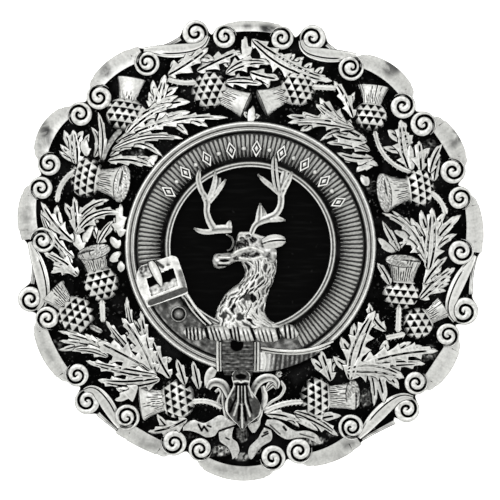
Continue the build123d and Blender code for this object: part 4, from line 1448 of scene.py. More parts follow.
LEAVES = (
    Leaf(150, 130, 165, 75, 17, -1, 1,
         ((0.5, 153, 80, 8), (0.4, 149, 92, 7), (0.55, 178, 87, 9), (0.4, 190, 102, 10))),
    Leaf(126, 134, 172, 104, 13, 5, 2, ((0.6, 178, 96, 8),)),
    Leaf(116, 142, 228, 118, 10, 9, 1, ((0.5, 188, 135, 7), (0.62, 208, 127, 7), (0.4, 190, 112, 9))),
    Leaf(112, 150, 183, 139, 9, 7, 2, ()),
    Leaf(110, 156, 163, 157, 8, 13, 1, ()),
    Leaf(108, 161, 153, 167, 9, 4, 1, ((0.6, 150, 158, 6),)),
    Leaf(146, 164, 158, 156, 8, 0, 0, ()),
    Leaf(101, 159, 98, 112, 7, -3, 1, ()),
    Leaf(94, 157, 91, 127, 7, -6, 1, ()),
    Leaf(87, 156, 85, 138, 9, 1, 0, ((0.6, 89, 134, 5),)),
    Leaf(76, 164, 73, 130, 14, 0, 2,
         ((0.4, 64, 130, 8), (0.45, 83, 131, 9), (0.2, 60, 144, 6), (0.1, 59, 151, 6))),
    Leaf(168, 75, 208, 48, 14, -1, 1,
         ((0.15, 174, 60, 8), (0.35, 183, 58, 8), (0.55, 192, 56, 8), (0.7, 214, 60, 9))),
    Leaf(197, 71, 240, 51, 13, 1, 1, ((0.5, 216, 54, 8), (0.6, 230, 69, 7))),
    Leaf(246, 68, 245, 36, 11, 0, 0, ((0.3, 236, 53, 7),)),
    Leaf(252, 39, 332, 81, 17, -7, 2,
         ((0.35, 284, 55, 8), (0.45, 295, 54, 8), (0.55, 304, 57, 7), (0.68, 312, 63, 8),
          (0.82, 324, 67, 7))),
    Leaf(226, 74, 270, 64, 12, 6, 2, ()),
    Leaf(226, 82, 262, 84, 11, 2, 2, ()),
    Leaf(250, 72, 279, 79, 12, -1, 1, ((0.5, 268, 88, 7),)),
    Leaf(250, 123, 253, 106, 8, 0, 0, ((0.3, 244, 112, 6), (0.3, 260, 116, 6))),
    Leaf(353, 118, 334, 81, 11, -2, 1, ((0.3, 345, 92, 6), (0.25, 355, 92, 6))),
    Leaf(352, 127, 320, 98, 13, 3, 1, ()),
    Leaf(347, 125, 316, 104, 10, 2, 2, ()),
    Leaf(326, 119, 287, 116, 9, 1, 1, ((0.4, 303, 112, 7),)),
    Leaf(354, 129, 288, 123, 11, -4, 2, ((0.6, 300, 131, 7),)),
    Leaf(367, 142, 320, 141, 8, -10, 1, ()),
    Leaf(367, 141, 332, 134, 12, 2, 1, ()),
    Leaf(370, 151, 327, 143, 9, -3, 2, ()),
    Leaf(373, 158, 337, 153, 9, 3, 1, ()),
    Leaf(374, 162, 345, 162, 8, -3, 1, ()),
    Leaf(362, 160, 378, 166, 6, 1, 0, ()),
    Leaf(377, 163, 356, 172, 8, -2, 0, ()),
    Leaf(368, 186, 361, 175, 8, 0, 0, ()),
    Leaf(411, 170, 401, 120, 18, 1, 2,
         ((0.62, 388, 130, 10), (0.64, 409, 133, 10), (0.4, 383, 147, 7), (0.5, 413, 142, 7))),
    Leaf(421, 171, 419, 141, 13, 0, 1, ((0.35, 430, 148, 9),)),
    Leaf(412, 170, 410, 144, 7, 0, 0, ()),
    Leaf(430, 173, 442, 144, 9, 2, 1, ()),
    Leaf(434, 181, 440, 156, 7, 1, 1, ()),
    Leaf(428, 270, 432, 208, 18, -2, 2,
         ((0.5, 446, 212, 9), (0.35, 461, 215, 11), (0.3, 457, 234, 8), (0.5, 421, 210, 10),
          (0.4, 411, 218, 10))),
    Leaf(427, 263, 392, 211, 9, -6, 1, ()),
    Leaf(426, 260, 382, 213, 9, -9, 1, ()),
    Leaf(426, 256, 394, 231, 14, -4, 0, ((0.2, 411, 245, 7),)),
    Leaf(399, 251, 382, 221, 7, 0, 1, ()),
    Leaf(395, 252, 378, 238, 8, 1, 0, ((0.3, 397, 240, 6), (0.1, 407, 242, 6))),
    Leaf(390, 285, 377, 263, 8, -1, 1, ()),
    Leaf(420, 299, 455, 268, 14, 1, 2,
         ((0.5, 441, 259, 8), (0.5, 451, 277, 8), (0.3, 449, 284, 8), (0.2, 446, 291, 7))),
    Leaf(424, 284, 447, 257, 10, 2, 1, ()),
    Leaf(386, 331, 369, 303, 10, 4, 1, ()),
    Leaf(350, 380, 375, 311, 20, 4, 2,
         ((0.3, 341, 337, 11), (0.45, 354, 323, 10), (0.5, 366, 333, 7), (0.15, 333, 356, 9))),
    Leaf(331, 381, 321, 351, 12, 0, 1, ((0.3, 339, 356, 8), (0.3, 311, 358, 8))),
    Leaf(361, 365, 438, 351, 16, 4, 1, ((0.3, 387, 340, 10), (0.45, 411, 342, 8), (0.6, 422, 346, 7))),
    Leaf(352, 371, 425, 364, 13, 3, 2, ()),
    Leaf(346, 371, 404, 378, 18, 5, 1, ((0.6, 399, 389, 9), (0.5, 384, 403, 11), (0.4, 374, 406, 7))),
    Leaf(294, 412, 338, 436, 12, 3, 2, ((0.45, 341, 416, 9),)),
    Leaf(266, 414, 300, 421, 8, 2, 1, ((0.5, 299, 427, 6),)),
    Leaf(296, 419, 318, 431, 6, 1, 0, ()),
    Leaf(74, 242, 41, 202, 11, 3, 1, ((0.35, 57, 205, 9),)),
    Leaf(74, 258, 41, 210, 10, 6, 2, ()),
    Leaf(77, 234, 74, 197, 10, 0, 1, ((0.4, 65, 203, 8),)),
    Leaf(76, 222, 109, 200, 9, 5, 1, ()),
    Leaf(76, 234, 121, 213, 12, 9, 2, ((0.35, 99, 222, 7),)),
    Leaf(83, 245, 94, 224, 7, 1, 0, ((0.9, 97, 240, 6),)),
    Leaf(98, 244, 113, 221, 10, 1, 2, ()),
    Leaf(82, 251, 74, 231, 10, 0, 0, ()),
    Leaf(121, 237, 121, 204, 11, 1, 0, ((0.4, 114, 218, 6), (0.2, 114, 228, 6))),
    Leaf(119, 248, 111, 237, 9, 0, 0, ()),
    Leaf(110, 261, 121, 252, 8, 0, 0, ()),
    Leaf(121, 272, 121, 261, 7, 0, 0, ()),
    Leaf(78, 276, 44, 253, 12, -2, 2, ()),
    Leaf(72, 264, 58, 245, 8, 1, 1, ()),
    Leaf(75, 273, 51, 273, 10, -4, 0, ((0.5, 56, 262, 7),)),
    Leaf(146, 366, 58, 331, 10, -3, 1, ((0.45, 85, 334, 9), (0.4, 97, 339, 8))),
    Leaf(140, 364, 98, 342, 19, 0, 0, ()),
    Leaf(128, 360, 59, 341, 9, -4, 1, ((0.7, 58, 350, 6),)),
    Leaf(108, 357, 72, 351, 9, -4, 2, ()),
    Leaf(153, 373, 106, 321, 12, 2, 2, ()),
    Leaf(152, 370, 122, 318, 15, -3, 1, ()),
    Leaf(152, 368, 127, 297, 11, 6, 2, ()),
    Leaf(156, 372, 141, 311, 12, 2, 1, ((0.6, 134, 320, 7),)),
    Leaf(170, 378, 151, 337, 13, 2, 1, ((0.35, 158, 351, 7), (0.4, 172, 359, 8))),
    Leaf(185, 385, 177, 359, 9, 0, 1, ()),
    Leaf(199, 389, 193, 361, 8, 0, 1, ()),
    Leaf(157, 375, 86, 361, 12, 2, 2, ((0.5, 108, 369, 7),)),
    Leaf(160, 379, 98, 380, 14, 4, 2, ()),
    Leaf(137, 385, 115, 400, 12, 3, 0, ((0.3, 116, 388, 7),)),
    Leaf(187, 419, 148, 432, 11, 3, 1, ((0.3, 163, 437, 7), (0.5, 157, 414, 7))),
)


@dataclass
class Foliage:
    """The cut leaves between the thistles.

    Attributes:
        drawing: The sheet and the dome.
        tiers: Heights above the ground that neighbouring leaves take in turn, in metres.
        veins: Places of the cut lines across a blade, by their number.
        body: How much wider a main blade is cast than its table width.
        finger: The same for its lobes.
        tooth: Length of a tooth of its sides, in sheet units.
        jag: Depth of a broad main blade's teeth, as a share of its half width.
        lobe_jag: The same for a lobe.
        bare: The share of a blade after which its tip has no teeth.
        broad: The table width over which a main blade has one more cut line.
        slim: The table width up to which a lobe has none.
    """

    drawing: Drawing
    tiers: tuple[float, ...] = (0.00066, 0.00102, 0.00082, 0.00124)
    veins: tuple[tuple[float, ...], ...] = ((), (0.05,), (-0.36, 0.28), (-0.52, 0.0, 0.5))
    body: float = 1.2
    finger: float = 1.12
    tooth: float = 14.0
    jag: float = 0.85
    lobe_jag: float = 0.25
    bare: float = 0.93
    broad: float = 16.0
    slim: float = 4.5

    def section(self, lines: int, fade: float) -> Section:
        """The shape across a blade with a number of cut lines that run out after a share of its length."""
        return Section(
            crown=0.12,
            veins=self.veins[lines],
            cut=0.5,
            line=1.15,
            edge=0.8,
            skirt=0.9,
            top=0.84,
            rim=0.97,
            fade=fade,
            mottle=0.3,
        )

    def blade(
        self, start: Pair, end: Pair, width: float, bend: float, foot: float, spacing: float, jag: float = 0.0
    ) -> list[Node]:
        """The middle line and half widths of a blade with a rounded tip.

        Args:
            start: Its foot.
            end: Its tip.
            width: Its greatest width.
            bend: How far it bows to the left.
            foot: Its width at the foot as a share of the greatest.
            spacing: Distance between its nodes.
            jag: How deeply its sides are cut into teeth, as a share of its half width.

        Returns:
            The nodes along it.
        """
        run, along_x, along_y = aim(start, end)
        left_x, left_y = along_y, -along_x
        steps = max(7, round(run / spacing))
        nodes = []
        for count in range(steps + 1):
            share = count / steps
            bow = 4 * bend * share * (1 - share)
            body = foot + (1 - foot) * step(0.0, 0.4, share)
            swell = (1 - share**2.5) ** 0.68 * body * min(share / 0.06, 1.0) ** 0.5
            wave = 1 + 0.14 * ripple(start[0] + share * run, start[1] + width, 7.5, 6.0)
            half = width / 2 * max(swell, 0.05) * wave
            point = (share * run + 2.5 * ripple(share * run, width, 7.0, start[1])) / self.tooth + start[0]
            depth = jag * half if share < self.bare else 0.0
            teeth = [depth * (((point + shift) % 1.0) ** 2 - 0.5) for shift in (0.0, 0.5)]
            x = start[0] + (end[0] - start[0]) * share + left_x * bow
            y = start[1] + (end[1] - start[1]) * share + left_y * bow
            nodes.append(Node(x, y, half, *teeth))
        return nodes

    def grow(self, casting: Casting, leaf: Leaf, rise: float) -> None:
        """Adds one leaf: its lobes and its main blade, which share one height and so run together."""
        start, tip = (leaf.x, leaf.y), (leaf.tip_x, leaf.tip_y)
        jag = self.jag * step(4, 12, leaf.width)
        middle = self.blade(start, tip, leaf.width * self.body, leaf.bend, 0.55, 1.3, jag)
        for share, x, y, width in leaf.lobes:
            root = middle[round(share * (len(middle) - 1))]
            bend = 0.06 * math.dist((root.x, root.y), (x, y))
            lobe = self.blade((root.x, root.y), (x, y), width * self.finger, bend, 1.0, 1.4, self.lobe_jag)
            section = self.section(1 if width > self.slim else 0, 0.62)
            casting.sweep(lobe, section, rise * 0.99, ends=(0.5, 1.0))
        lines = min(leaf.lines + (leaf.width > self.broad), 2)
        casting.sweep(middle, self.section(lines, 0.76), rise)

    def leaves(self) -> dict[str, Casting]:
        """The leaves, in a left and a right piece."""
        halves = {f"leaves_{side}": self.drawing.on_dome() for side in ("left", "right")}
        for index, leaf in enumerate(LEAVES):
            side = "left" if leaf.x < self.drawing.middle else "right"
            self.grow(halves[f"leaves_{side}"], leaf, self.tiers[index % len(self.tiers)])
        return halves


class Thistle(NamedTuple):
    """A thistle: ball centre, half sizes along and across its axis, and the tuft beyond it.

    stripes is the share of the tuft that its cut lines cover, and cap how far its end bulges.
    """

    x: float
    y: float
    along: float
    across: float
    tuft_x: float
    tuft_y: float
    foot: float
    half: float
    stripes: float
    cap: float


THISTLES = (
    Thistle(126, 115, 16, 19, 132, 80, 9.5, 15, 0.45, 2),
    Thistle(88, 178, 16, 19, 122, 184, 11, 19, 0.75, 9),
    Thistle(102, 283, 17, 17, 94, 252, 11, 17, 0.95, 8),
    Thistle(77, 314, 18, 18, 54, 291, 10, 16, 1.0, 2),
    Thistle(178, 398, 17, 19, 143, 402, 11, 19, 0.9, 3),
    Thistle(210, 91, 17, 18, 246, 106, 10, 14, 0.6, 3),
    Thistle(370, 117, 14, 16, 373, 88, 9.5, 16, 1.0, 2),
    Thistle(418, 188, 15, 18, 384, 193, 11, 20, 0.8, 8),
    Thistle(400, 293, 15, 18, 403, 261, 12, 18, 0.95, 7),
    Thistle(417, 323, 15, 15, 442, 307, 9, 12, 1.0, 2),
    Thistle(316, 396, 15, 19, 353, 395, 12, 15, 0.9, 8),
    Thistle(297, 90, 17, 17, 262, 104, 10, 15, 0.55, 3),
)


class Stem(NamedTuple):
    """A thistle's stalk; hairs is the spacing of its teeth, or 0 where it is smooth."""

    x: float
    y: float
    end_x: float
    end_y: float
    width: float
    bend: float
    hairs: int


STEMS = (
    Stem(121, 130, 102, 160, 5.5, -2.5, 0),
    Stem(76, 170, 57, 202, 6, -5, 4),
    Stem(102, 300, 103, 322, 6, 0, 4),
    Stem(90, 326, 102, 332, 5, 0, 0),
    Stem(192, 402, 222, 408, 6, 3.5, 3),
    Stem(196, 82, 168, 79, 6, 2, 4),
    Stem(375, 131, 411, 172, 5, -9, 4),
    Stem(430, 192, 446, 214, 6, 3, 4),
    Stem(399, 306, 398, 332, 6, 0, 3),
    Stem(405, 334, 386, 338, 6, 0, 3),
    Stem(303, 402, 264, 412, 6, -3, 3),
    Stem(312, 87, 336, 88, 6, 0, 3),
)


@dataclass
class ThistleWreath:
    """Twelve thistles with pitted balls, striped tufts and stalks.

    Attributes:
        drawing: The sheet and the dome.
        sink: How far a thistle's axis lies below the ground, in metres.
        pit: Depth of the pits in a ball.
        row: Spacing of the rows of pits, in sheet units.
        pitch: Spacing of the pits in a row.
        flat: Height of a thistle over its axis as a share of its half width.
        swell: How roundly it falls to its sides; 1 is a circle.
        plump: How much longer a ball is cast than its table row.
        broad: The same for its width.
        steps: Number of points round a thistle.
        floor: How far a thistle reaches below the ground, in metres.
    """

    drawing: Drawing
    sink: float = 0.0006
    pit: float = 0.00055
    row: float = 7.0
    pitch: float = 7.8
    flat: float = 0.72
    swell: float = 0.5
    plump: float = 1.08
    broad: float = 1.06
    steps: int = 112
    floor: float = 0.0009

    def axes(self, row: Thistle) -> tuple[Vector, Vector, Vector, Vector, float]:
        """The ball's centre, the axis to the tuft, the two directions across it and the tuft's distance."""
        low_x, low_y = self.drawing.place(row.x, row.y)
        high_x, high_y = self.drawing.place(row.tuft_x, row.tuft_y)
        low = Vector((low_x, low_y, self.drawing.dome(low_x, low_y) - self.sink))
        high = Vector((high_x, high_y, self.drawing.dome(high_x, high_y) - self.sink))
        along = (high - low).normalized()
        across = along.cross(Vector((0, 0, 1))).normalized()
        return low, along, across, across.cross(along), (high - low).length

    def spin(
        self,
        casting: Casting,
        row: Thistle,
        profile: Sequence[Triple],
        carved: Callable[[int, float, float], Pair],
    ) -> None:
        """Turns a profile round the thistle's axis, carved, and held above the plate's middle.

        Args:
            casting: The casting that the form is added to.
            row: The thistle.
            profile: Rows of distance along, radius, both in metres, and tone.
            carved: Gives the depth and tone at a row of the profile, an angle and the row's tone.
        """
        low, along, across, up, _ = self.axes(row)
        rows = []
        for index, (distance, radius, tone) in enumerate(profile):
            loop = []
            for count in range(self.steps):
                angle = math.tau * count / self.steps
                depth, shade = carved(index, angle, tone)
                reach = radius - depth
                lift = self.flat * math.copysign(abs(math.cos(angle)) ** self.swell, math.cos(angle))
                spot = low + along * distance + (up * lift + across * math.sin(angle)) * reach
                floor = self.drawing.dome(spot.x, spot.y) - self.floor
                loop.append((spot.x, spot.y, max(spot.z, floor), shade))
            rows.append(loop)
        casting.loft(rows)

    def ball(self, casting: Casting, row: Thistle) -> None:
        """A ball covered with rows of three-sided pits that point to the stalk."""
        unit = self.drawing.unit
        count = 46
        low, high = math.radians(-86), math.radians(68)
        angles = [low + (high - low) * index / (count - 1) for index in range(count)]
        profile = []
        for angle in angles:
            radius = row.across * unit * math.cos(angle) ** 0.92 * self.broad
            profile.append((row.along * self.plump * unit * math.sin(angle), radius, 0.95))

        def pits(index: int, angle: float, tone: float) -> Pair:
            """The pit's depth and tone at a place, on a lattice that is even when seen from above."""
            level = row.along * self.plump * math.sin(angles[index]) / self.row + 0.35
            line = math.floor(level)
            rise = level - line
            side = self.broad * row.across * math.cos(angles[index]) * math.sin(angle)
            spot = side / self.pitch + 0.5 * (line % 2)
            across = abs(spot - math.floor(spot) - 0.5)
            half = 0.5 * (rise - 0.05) / 0.82
            inside = min((half - across) / 0.08, (0.87 - rise) / 0.09, 1.0)
            if inside <= 0 or math.cos(angle) < -0.1:
                return 0.0, tone - 0.06 * step(0.0, 0.5, 0.5 - across)
            return self.pit * inside, 0.9 - 0.9 * step(0.0, 0.6, inside)

        self.spin(casting, row, profile, pits)

    def tuft(self, casting: Casting, row: Thistle) -> None:
        """A flared tuft with fine lengthwise cuts, and a domed end."""
        unit = self.drawing.unit
        length = self.axes(row)[4]
        neck = row.along * unit * 0.72
        profile = []
        shares = []
        for index in range(25):
            share = index / 24
            swell = 0.35 * share + 0.65 * share**2.2
            radius = (row.foot + (row.half - row.foot) * swell) * unit
            profile.append((neck + (length - neck) * share, radius, 0.9))
            shares.append(share)
        for index in range(1, 9):
            angle = math.pi / 2 * index / 8
            shade = 0.3 if index == 1 else 0.8
            radius = max(row.half * 0.97 * math.cos(angle), 0.05) * unit
            profile.append((length + row.cap * unit * math.sin(angle), radius, shade))
            shares.append(2.0)
        lines = 34

        def cuts(index: int, angle: float, tone: float) -> Pair:
            """The cut lines' depth and tone at a place."""
            share = shares[index]
            if share > 1:
                return 0.0, tone + 0.45 * ripple(index * 1.4, angle * 7, 1.0, row.x)
            spot = angle * lines / math.tau + 0.4 * ripple(share * 3, angle * 3, 1.0, row.y)
            luck = chance(math.floor(spot) + 0.5, row.x)
            near = step(0.13 + 0.12 * luck, 0.08, abs(spot % 1.0 - 0.5))
            ends = step(row.stripes * (1.15 - 0.6 * luck), row.stripes * (0.95 - 0.6 * luck), share)
            cut = near * (1.0 if row.stripes > 0.9 and luck < 0.7 else ends)
            return 0.00014 * cut, 0.9 - 0.86 * cut + 0.14 * ripple(index, angle * 9, 2.0, row.x)

        self.spin(casting, row, profile, cuts)

    def face(self, casting: Casting, row: Thistle) -> None:
        """The worn open end of a tuft, a speckled oval with a dark rim."""
        _, along_x, along_y = aim((row.x, row.y), (row.tuft_x, row.tuft_y))
        edges = []
        for count in range(15):
            share = -math.cos(math.pi * count / 14)
            half = row.cap * max(1 - share**2, 0.01) ** 0.5
            x, y = row.tuft_x - along_y * share * row.half, row.tuft_y + along_x * share * row.half
            edges.append((x - along_x * half, y - along_y * half, x + along_x * half, y + along_y * half))
        top = self.flat * row.half * self.drawing.unit - self.sink + 0.0001

        def worn(x: float, y: float, across: float, along: float) -> Pair:
            """The face's height and tone."""
            level = max(1 - along**2, 0.0) ** (self.swell / 2)
            rim = max(abs(across), abs(along)) > 0.9
            tone = 0.2 if rim else 0.7 + 0.5 * ripple(x, y, 1.3, row.x)
            return top * level * (1 - 0.12 * (1 + across)), tone

        casting.panel(edges, 15, worn, spacing=1.4)

    def hairs(self, casting: Casting, stem: Stem, path: Sequence[Node]) -> None:
        """The short teeth along both sides of a stalk, which point to its foot."""
        section = Section(crown=0.1, edge=0.3, skirt=0.3, top=0.95)
        for index in range(1, len(path) - 2, stem.hairs + 1):
            here, after = path[index], path[index + 1]
            _, along_x, along_y = aim(here[:2], after[:2])
            for side in (-1, 1):
                reach = side * stem.width * (0.62 + 0.2 * ripple(here.x, here.y + side, 2.0, 1.0))
                tip = (here.x + along_x * 2.4 - along_y * reach, here.y + along_y * 2.4 + along_x * reach)
                middle = (here.x + tip[0]) / 2, (here.y + tip[1]) / 2
                casting.sweep([(*here[:2], 0.8), (*middle, 0.75), (*tip, 0.35)], section, 0.00105)

    def castings(self) -> dict[str, Casting]:
        """The balls in two pieces, the tufts and the stalks."""
        names = ("thistle_balls_left", "thistle_balls_right", "thistle_tufts", "thistle_stalks")
        made = {name: self.drawing.on_dome() for name in names}
        for row in THISTLES:
            side = "left" if row.x < self.drawing.middle else "right"
            self.ball(made[f"thistle_balls_{side}"], row)
            self.tuft(made["thistle_tufts"], row)
            if row.cap > 5:
                self.face(made["thistle_tufts"], row)
        for stem in STEMS:
            foot, end = (stem.x, stem.y), (stem.end_x, stem.end_y)
            path = Foliage(self.drawing).blade(foot, end, stem.width, stem.bend, 1.0, 1.0)
            half = stem.width * (0.42 if stem.hairs else 0.48)
            bar = []
            for index, (x, y, *_) in enumerate(path):
                taper = min(1.0, 0.5 + 0.25 * min(index, len(path) - 1 - index))
                bar.append(Node(x, y, half * taper * (1 + 0.15 * ripple(x, y, 9.0, 2.0))))
            bare = Section(crown=0.3, edge=0.8, skirt=0.8, top=0.78, rim=0.7, mottle=0.4)
            shape = Section(crown=0.22, edge=0.6, skirt=0.8, top=0.9) if stem.hairs else bare
            made["thistle_stalks"].sweep(bar, shape, 0.0013)
            if stem.hairs:
                self.hairs(made["thistle_stalks"], stem, path)
        return made


class Strip(NamedTuple):
    """A freely drawn strip: rise in millimetres, places of its cut lines, nodes, and how dark it is."""

    rise: float
    veins: tuple[float, ...]
    nodes: tuple[tuple[float, float, float], ...]
    dark: float = 0.0


FOOT_PANELS = (
    ((236, 421.5, 235, 425.5), (226, 416.5, 229, 428), (219, 415, 219, 431), (212, 419, 214, 436.5),
     (205, 422.5, 206, 437.5), (200, 422, 199, 434), (194, 419.7, 192, 431.5), (187.5, 422.5, 186, 430.8),
     (183, 427, 183, 431)),
    ((219, 429, 235, 425.5), (218.5, 434, 233, 431), (219.5, 441, 232.5, 438), (223.5, 444.5, 237, 442),
     (228, 448, 239, 447), (231, 454, 239.3, 452.5), (232.5, 459.5, 236, 457)),
    ((264, 427.5, 271, 430), (260, 434, 272.5, 435), (257.5, 438.5, 271, 441), (250, 446, 263, 446),
     (248, 452, 257.5, 452), (248.3, 456, 255, 456), (250, 459.5, 252, 459.5)),
    ((267, 419.5, 265, 425), (275, 419.5, 272, 429), (282, 422, 278, 435), (290, 428, 287, 439.7),
     (297, 431, 297, 438), (305, 430.5, 306, 438), (312, 432, 312, 441), (318, 436, 317, 443.7),
     (322, 443, 320, 444.5)),
    ((247.5, 423, 261, 419), (248, 426, 260, 425), (249.5, 429.5, 257, 430), (252, 433, 255, 433)),
)
KNOT = ((236, 428, 247, 428), (235.5, 434, 247.5, 434), (238, 441, 245.5, 441))
CREASES = (
    Stroke(198.5, 424.5, 201.5, 430.5, 0.5, 0.3, 0.0),
    Stroke(201.5, 430.5, 204, 426.5, 0.5, 0.3, 0.0),
    Stroke(204, 426.5, 207.5, 431, 0.5, 0.3, 0.0),
    Stroke(207.5, 425.5, 211, 427, 0.4, 0.3, 0.1),
    Stroke(219, 431, 235, 425.5, 0.5, 0.25, 0.05),
    Stroke(226, 438, 229, 439.5, 0.5, 0.15, 0.2),
    Stroke(262, 436.5, 268, 433.5, 0.5, 0.2, 0.1),
    Stroke(264, 433, 267.5, 431.5, 0.4, 0.2, 0.15),
    Stroke(283.5, 427, 286, 430, 0.8, 0.2, 0.2),
    Stroke(270, 425, 280, 434, 0.4, 0.15, 0.4),
    Stroke(300, 434, 314, 438, 0.4, 0.15, 0.45),
)
FOOT_STRIPS = (
    Strip(1.2, (), ((214.5, 368.5, 3.4), (211, 373, 4.8), (208.5, 379, 4.2), (207.5, 386.5, 2.6)), 0.1),
    Strip(1.4, (),
          ((208, 388.5, 2.4), (211, 383.5, 3.6), (216.5, 382, 4.2), (223, 384.5, 4.3), (227, 391, 3.8),
           (229.5, 399, 2.6)), 0.4),
    Strip(1.1, (),
          ((215.5, 392, 1.3), (219, 389, 1.5), (221.5, 393, 1.5), (219, 398, 1.5), (217.5, 405, 1.4))),
    Strip(1.1, (), ((223, 393, 1.4), (223.5, 404, 1.6), (226, 417, 1.7))),
    Strip(1.4, (),
          ((253, 395, 2.4), (255, 387, 3.6), (260, 380.5, 4.2), (267, 377.5, 4.0), (273.5, 378.5, 3.4),
           (277.5, 383, 2.6), (277, 388, 1.6)), 0.38),
    Strip(1.1, (-0.3, 0.35),
          ((266, 390.5, 1.4), (269.5, 386, 3.2), (273.5, 383.5, 3.2), (277, 388.5, 1.6)), 0.1),
    Strip(1.3, (),
          ((281.2, 374, 1.2), (279, 371.4, 1.2), (276.8, 374, 1.2), (279, 376.2, 1.2), (281, 374.6, 1.1))),
    Strip(1.15, (), ((262.5, 386, 1.9), (265, 397, 2.8), (262.5, 410, 2.4))),
    Strip(1.15, (),
          ((280.5, 381, 1.5), (284.3, 388, 1.6), (280, 396.5, 1.5), (271, 402, 1.4), (263, 409.5, 1.3))),
    Strip(1.0, (), ((261.5, 404, 1.4), (261, 413, 1.6), (258.5, 420, 1.6))),
)


@dataclass
class FootRibbon:
    """The tied ribbon and the small curls at the foot, round the strap's tip.

    Attributes:
        drawing: The sheet and the dome.
        rise: Height of the ribbon's folds above the ground, in metres.
    """

    drawing: Drawing
    rise: float = 0.00115

    def fold(self, x: float, y: float, across: float, along: float) -> Pair:
        """A fold's worn face with its edge painted bright as a highlight, and its creases."""
        near = max(abs(across), abs(along) ** 5)
        tone = 0.83 + 0.14 * ripple(x, y, 5.0, 3.0) + 0.12 * ripple(x, y, 1.7, 1.0)
        # Painted highlight along the fold's edge.
        tone = 0.96 if near > 0.86 else tone
        return carve(x, y, self.rise * (1 - 0.25 * near**2), tone, (), CREASES)

    def knot(self, x: float, y: float, across: float, along: float) -> Pair:
        """The dark rough knot under the strap's tip."""
        return self.rise * 0.7, 0.45 + 0.4 * ripple(x, y, 2.2, 5.0)

    def casting(self) -> Casting:
        """All its folds and strips in one piece."""
        made = self.drawing.on_dome()
        for edges in FOOT_PANELS:
            made.panel(edges, 19, self.fold, spacing=0.7)
        made.panel(KNOT, 11, self.knot)
        section = Section(crown=0.12, cut=0.3, line=0.7, edge=0.9, skirt=0.7, top=0.9, mottle=0.3)
        for strip in FOOT_STRIPS:
            shape = replace(section, veins=strip.veins, top=section.top - strip.dark)
            made.sweep(smooth(strip.nodes), shape, strip.rise * MILLIMETRE)
        return made


RING_PROFILE = (
    (79.5, 0.0, 0.0),
    (79.5, 1.25, 0.4),
    (80.2, 1.5, 0.85),
    (81.3, 1.5, 0.8),
    (82.1, 1.3, 0.5),
    (82.9, 1.35, 0.6),
    (83.6, 1.48, 0.95),
    (84.5, 1.42, 0.92),
    (85.2, 1.2, 0.5),
    (86.2, 1.0, 0.24),
    (88.0, 0.98, 0.28),
    (92.0, 0.98, 0.34),
    (96.0, 0.98, 0.38),
    (99.0, 0.98, 0.39),
    (102.0, 0.98, 0.4),
    (105.0, 0.98, 0.42),
    (108.0, 0.98, 0.42),
    (111.0, 0.98, 0.42),
    (113.2, 0.98, 0.38),
    (113.9, 0.92, 0.2),
    (115.0, 0.92, 0.24),
    (115.8, 1.25, 0.6),
    (116.8, 1.45, 0.92),
    (117.6, 1.42, 0.88),
    (118.2, 1.36, 0.62),
    (118.9, 1.42, 0.85),
    (119.4, 1.35, 0.8),
    (119.4, 0.0, 0.0),
)


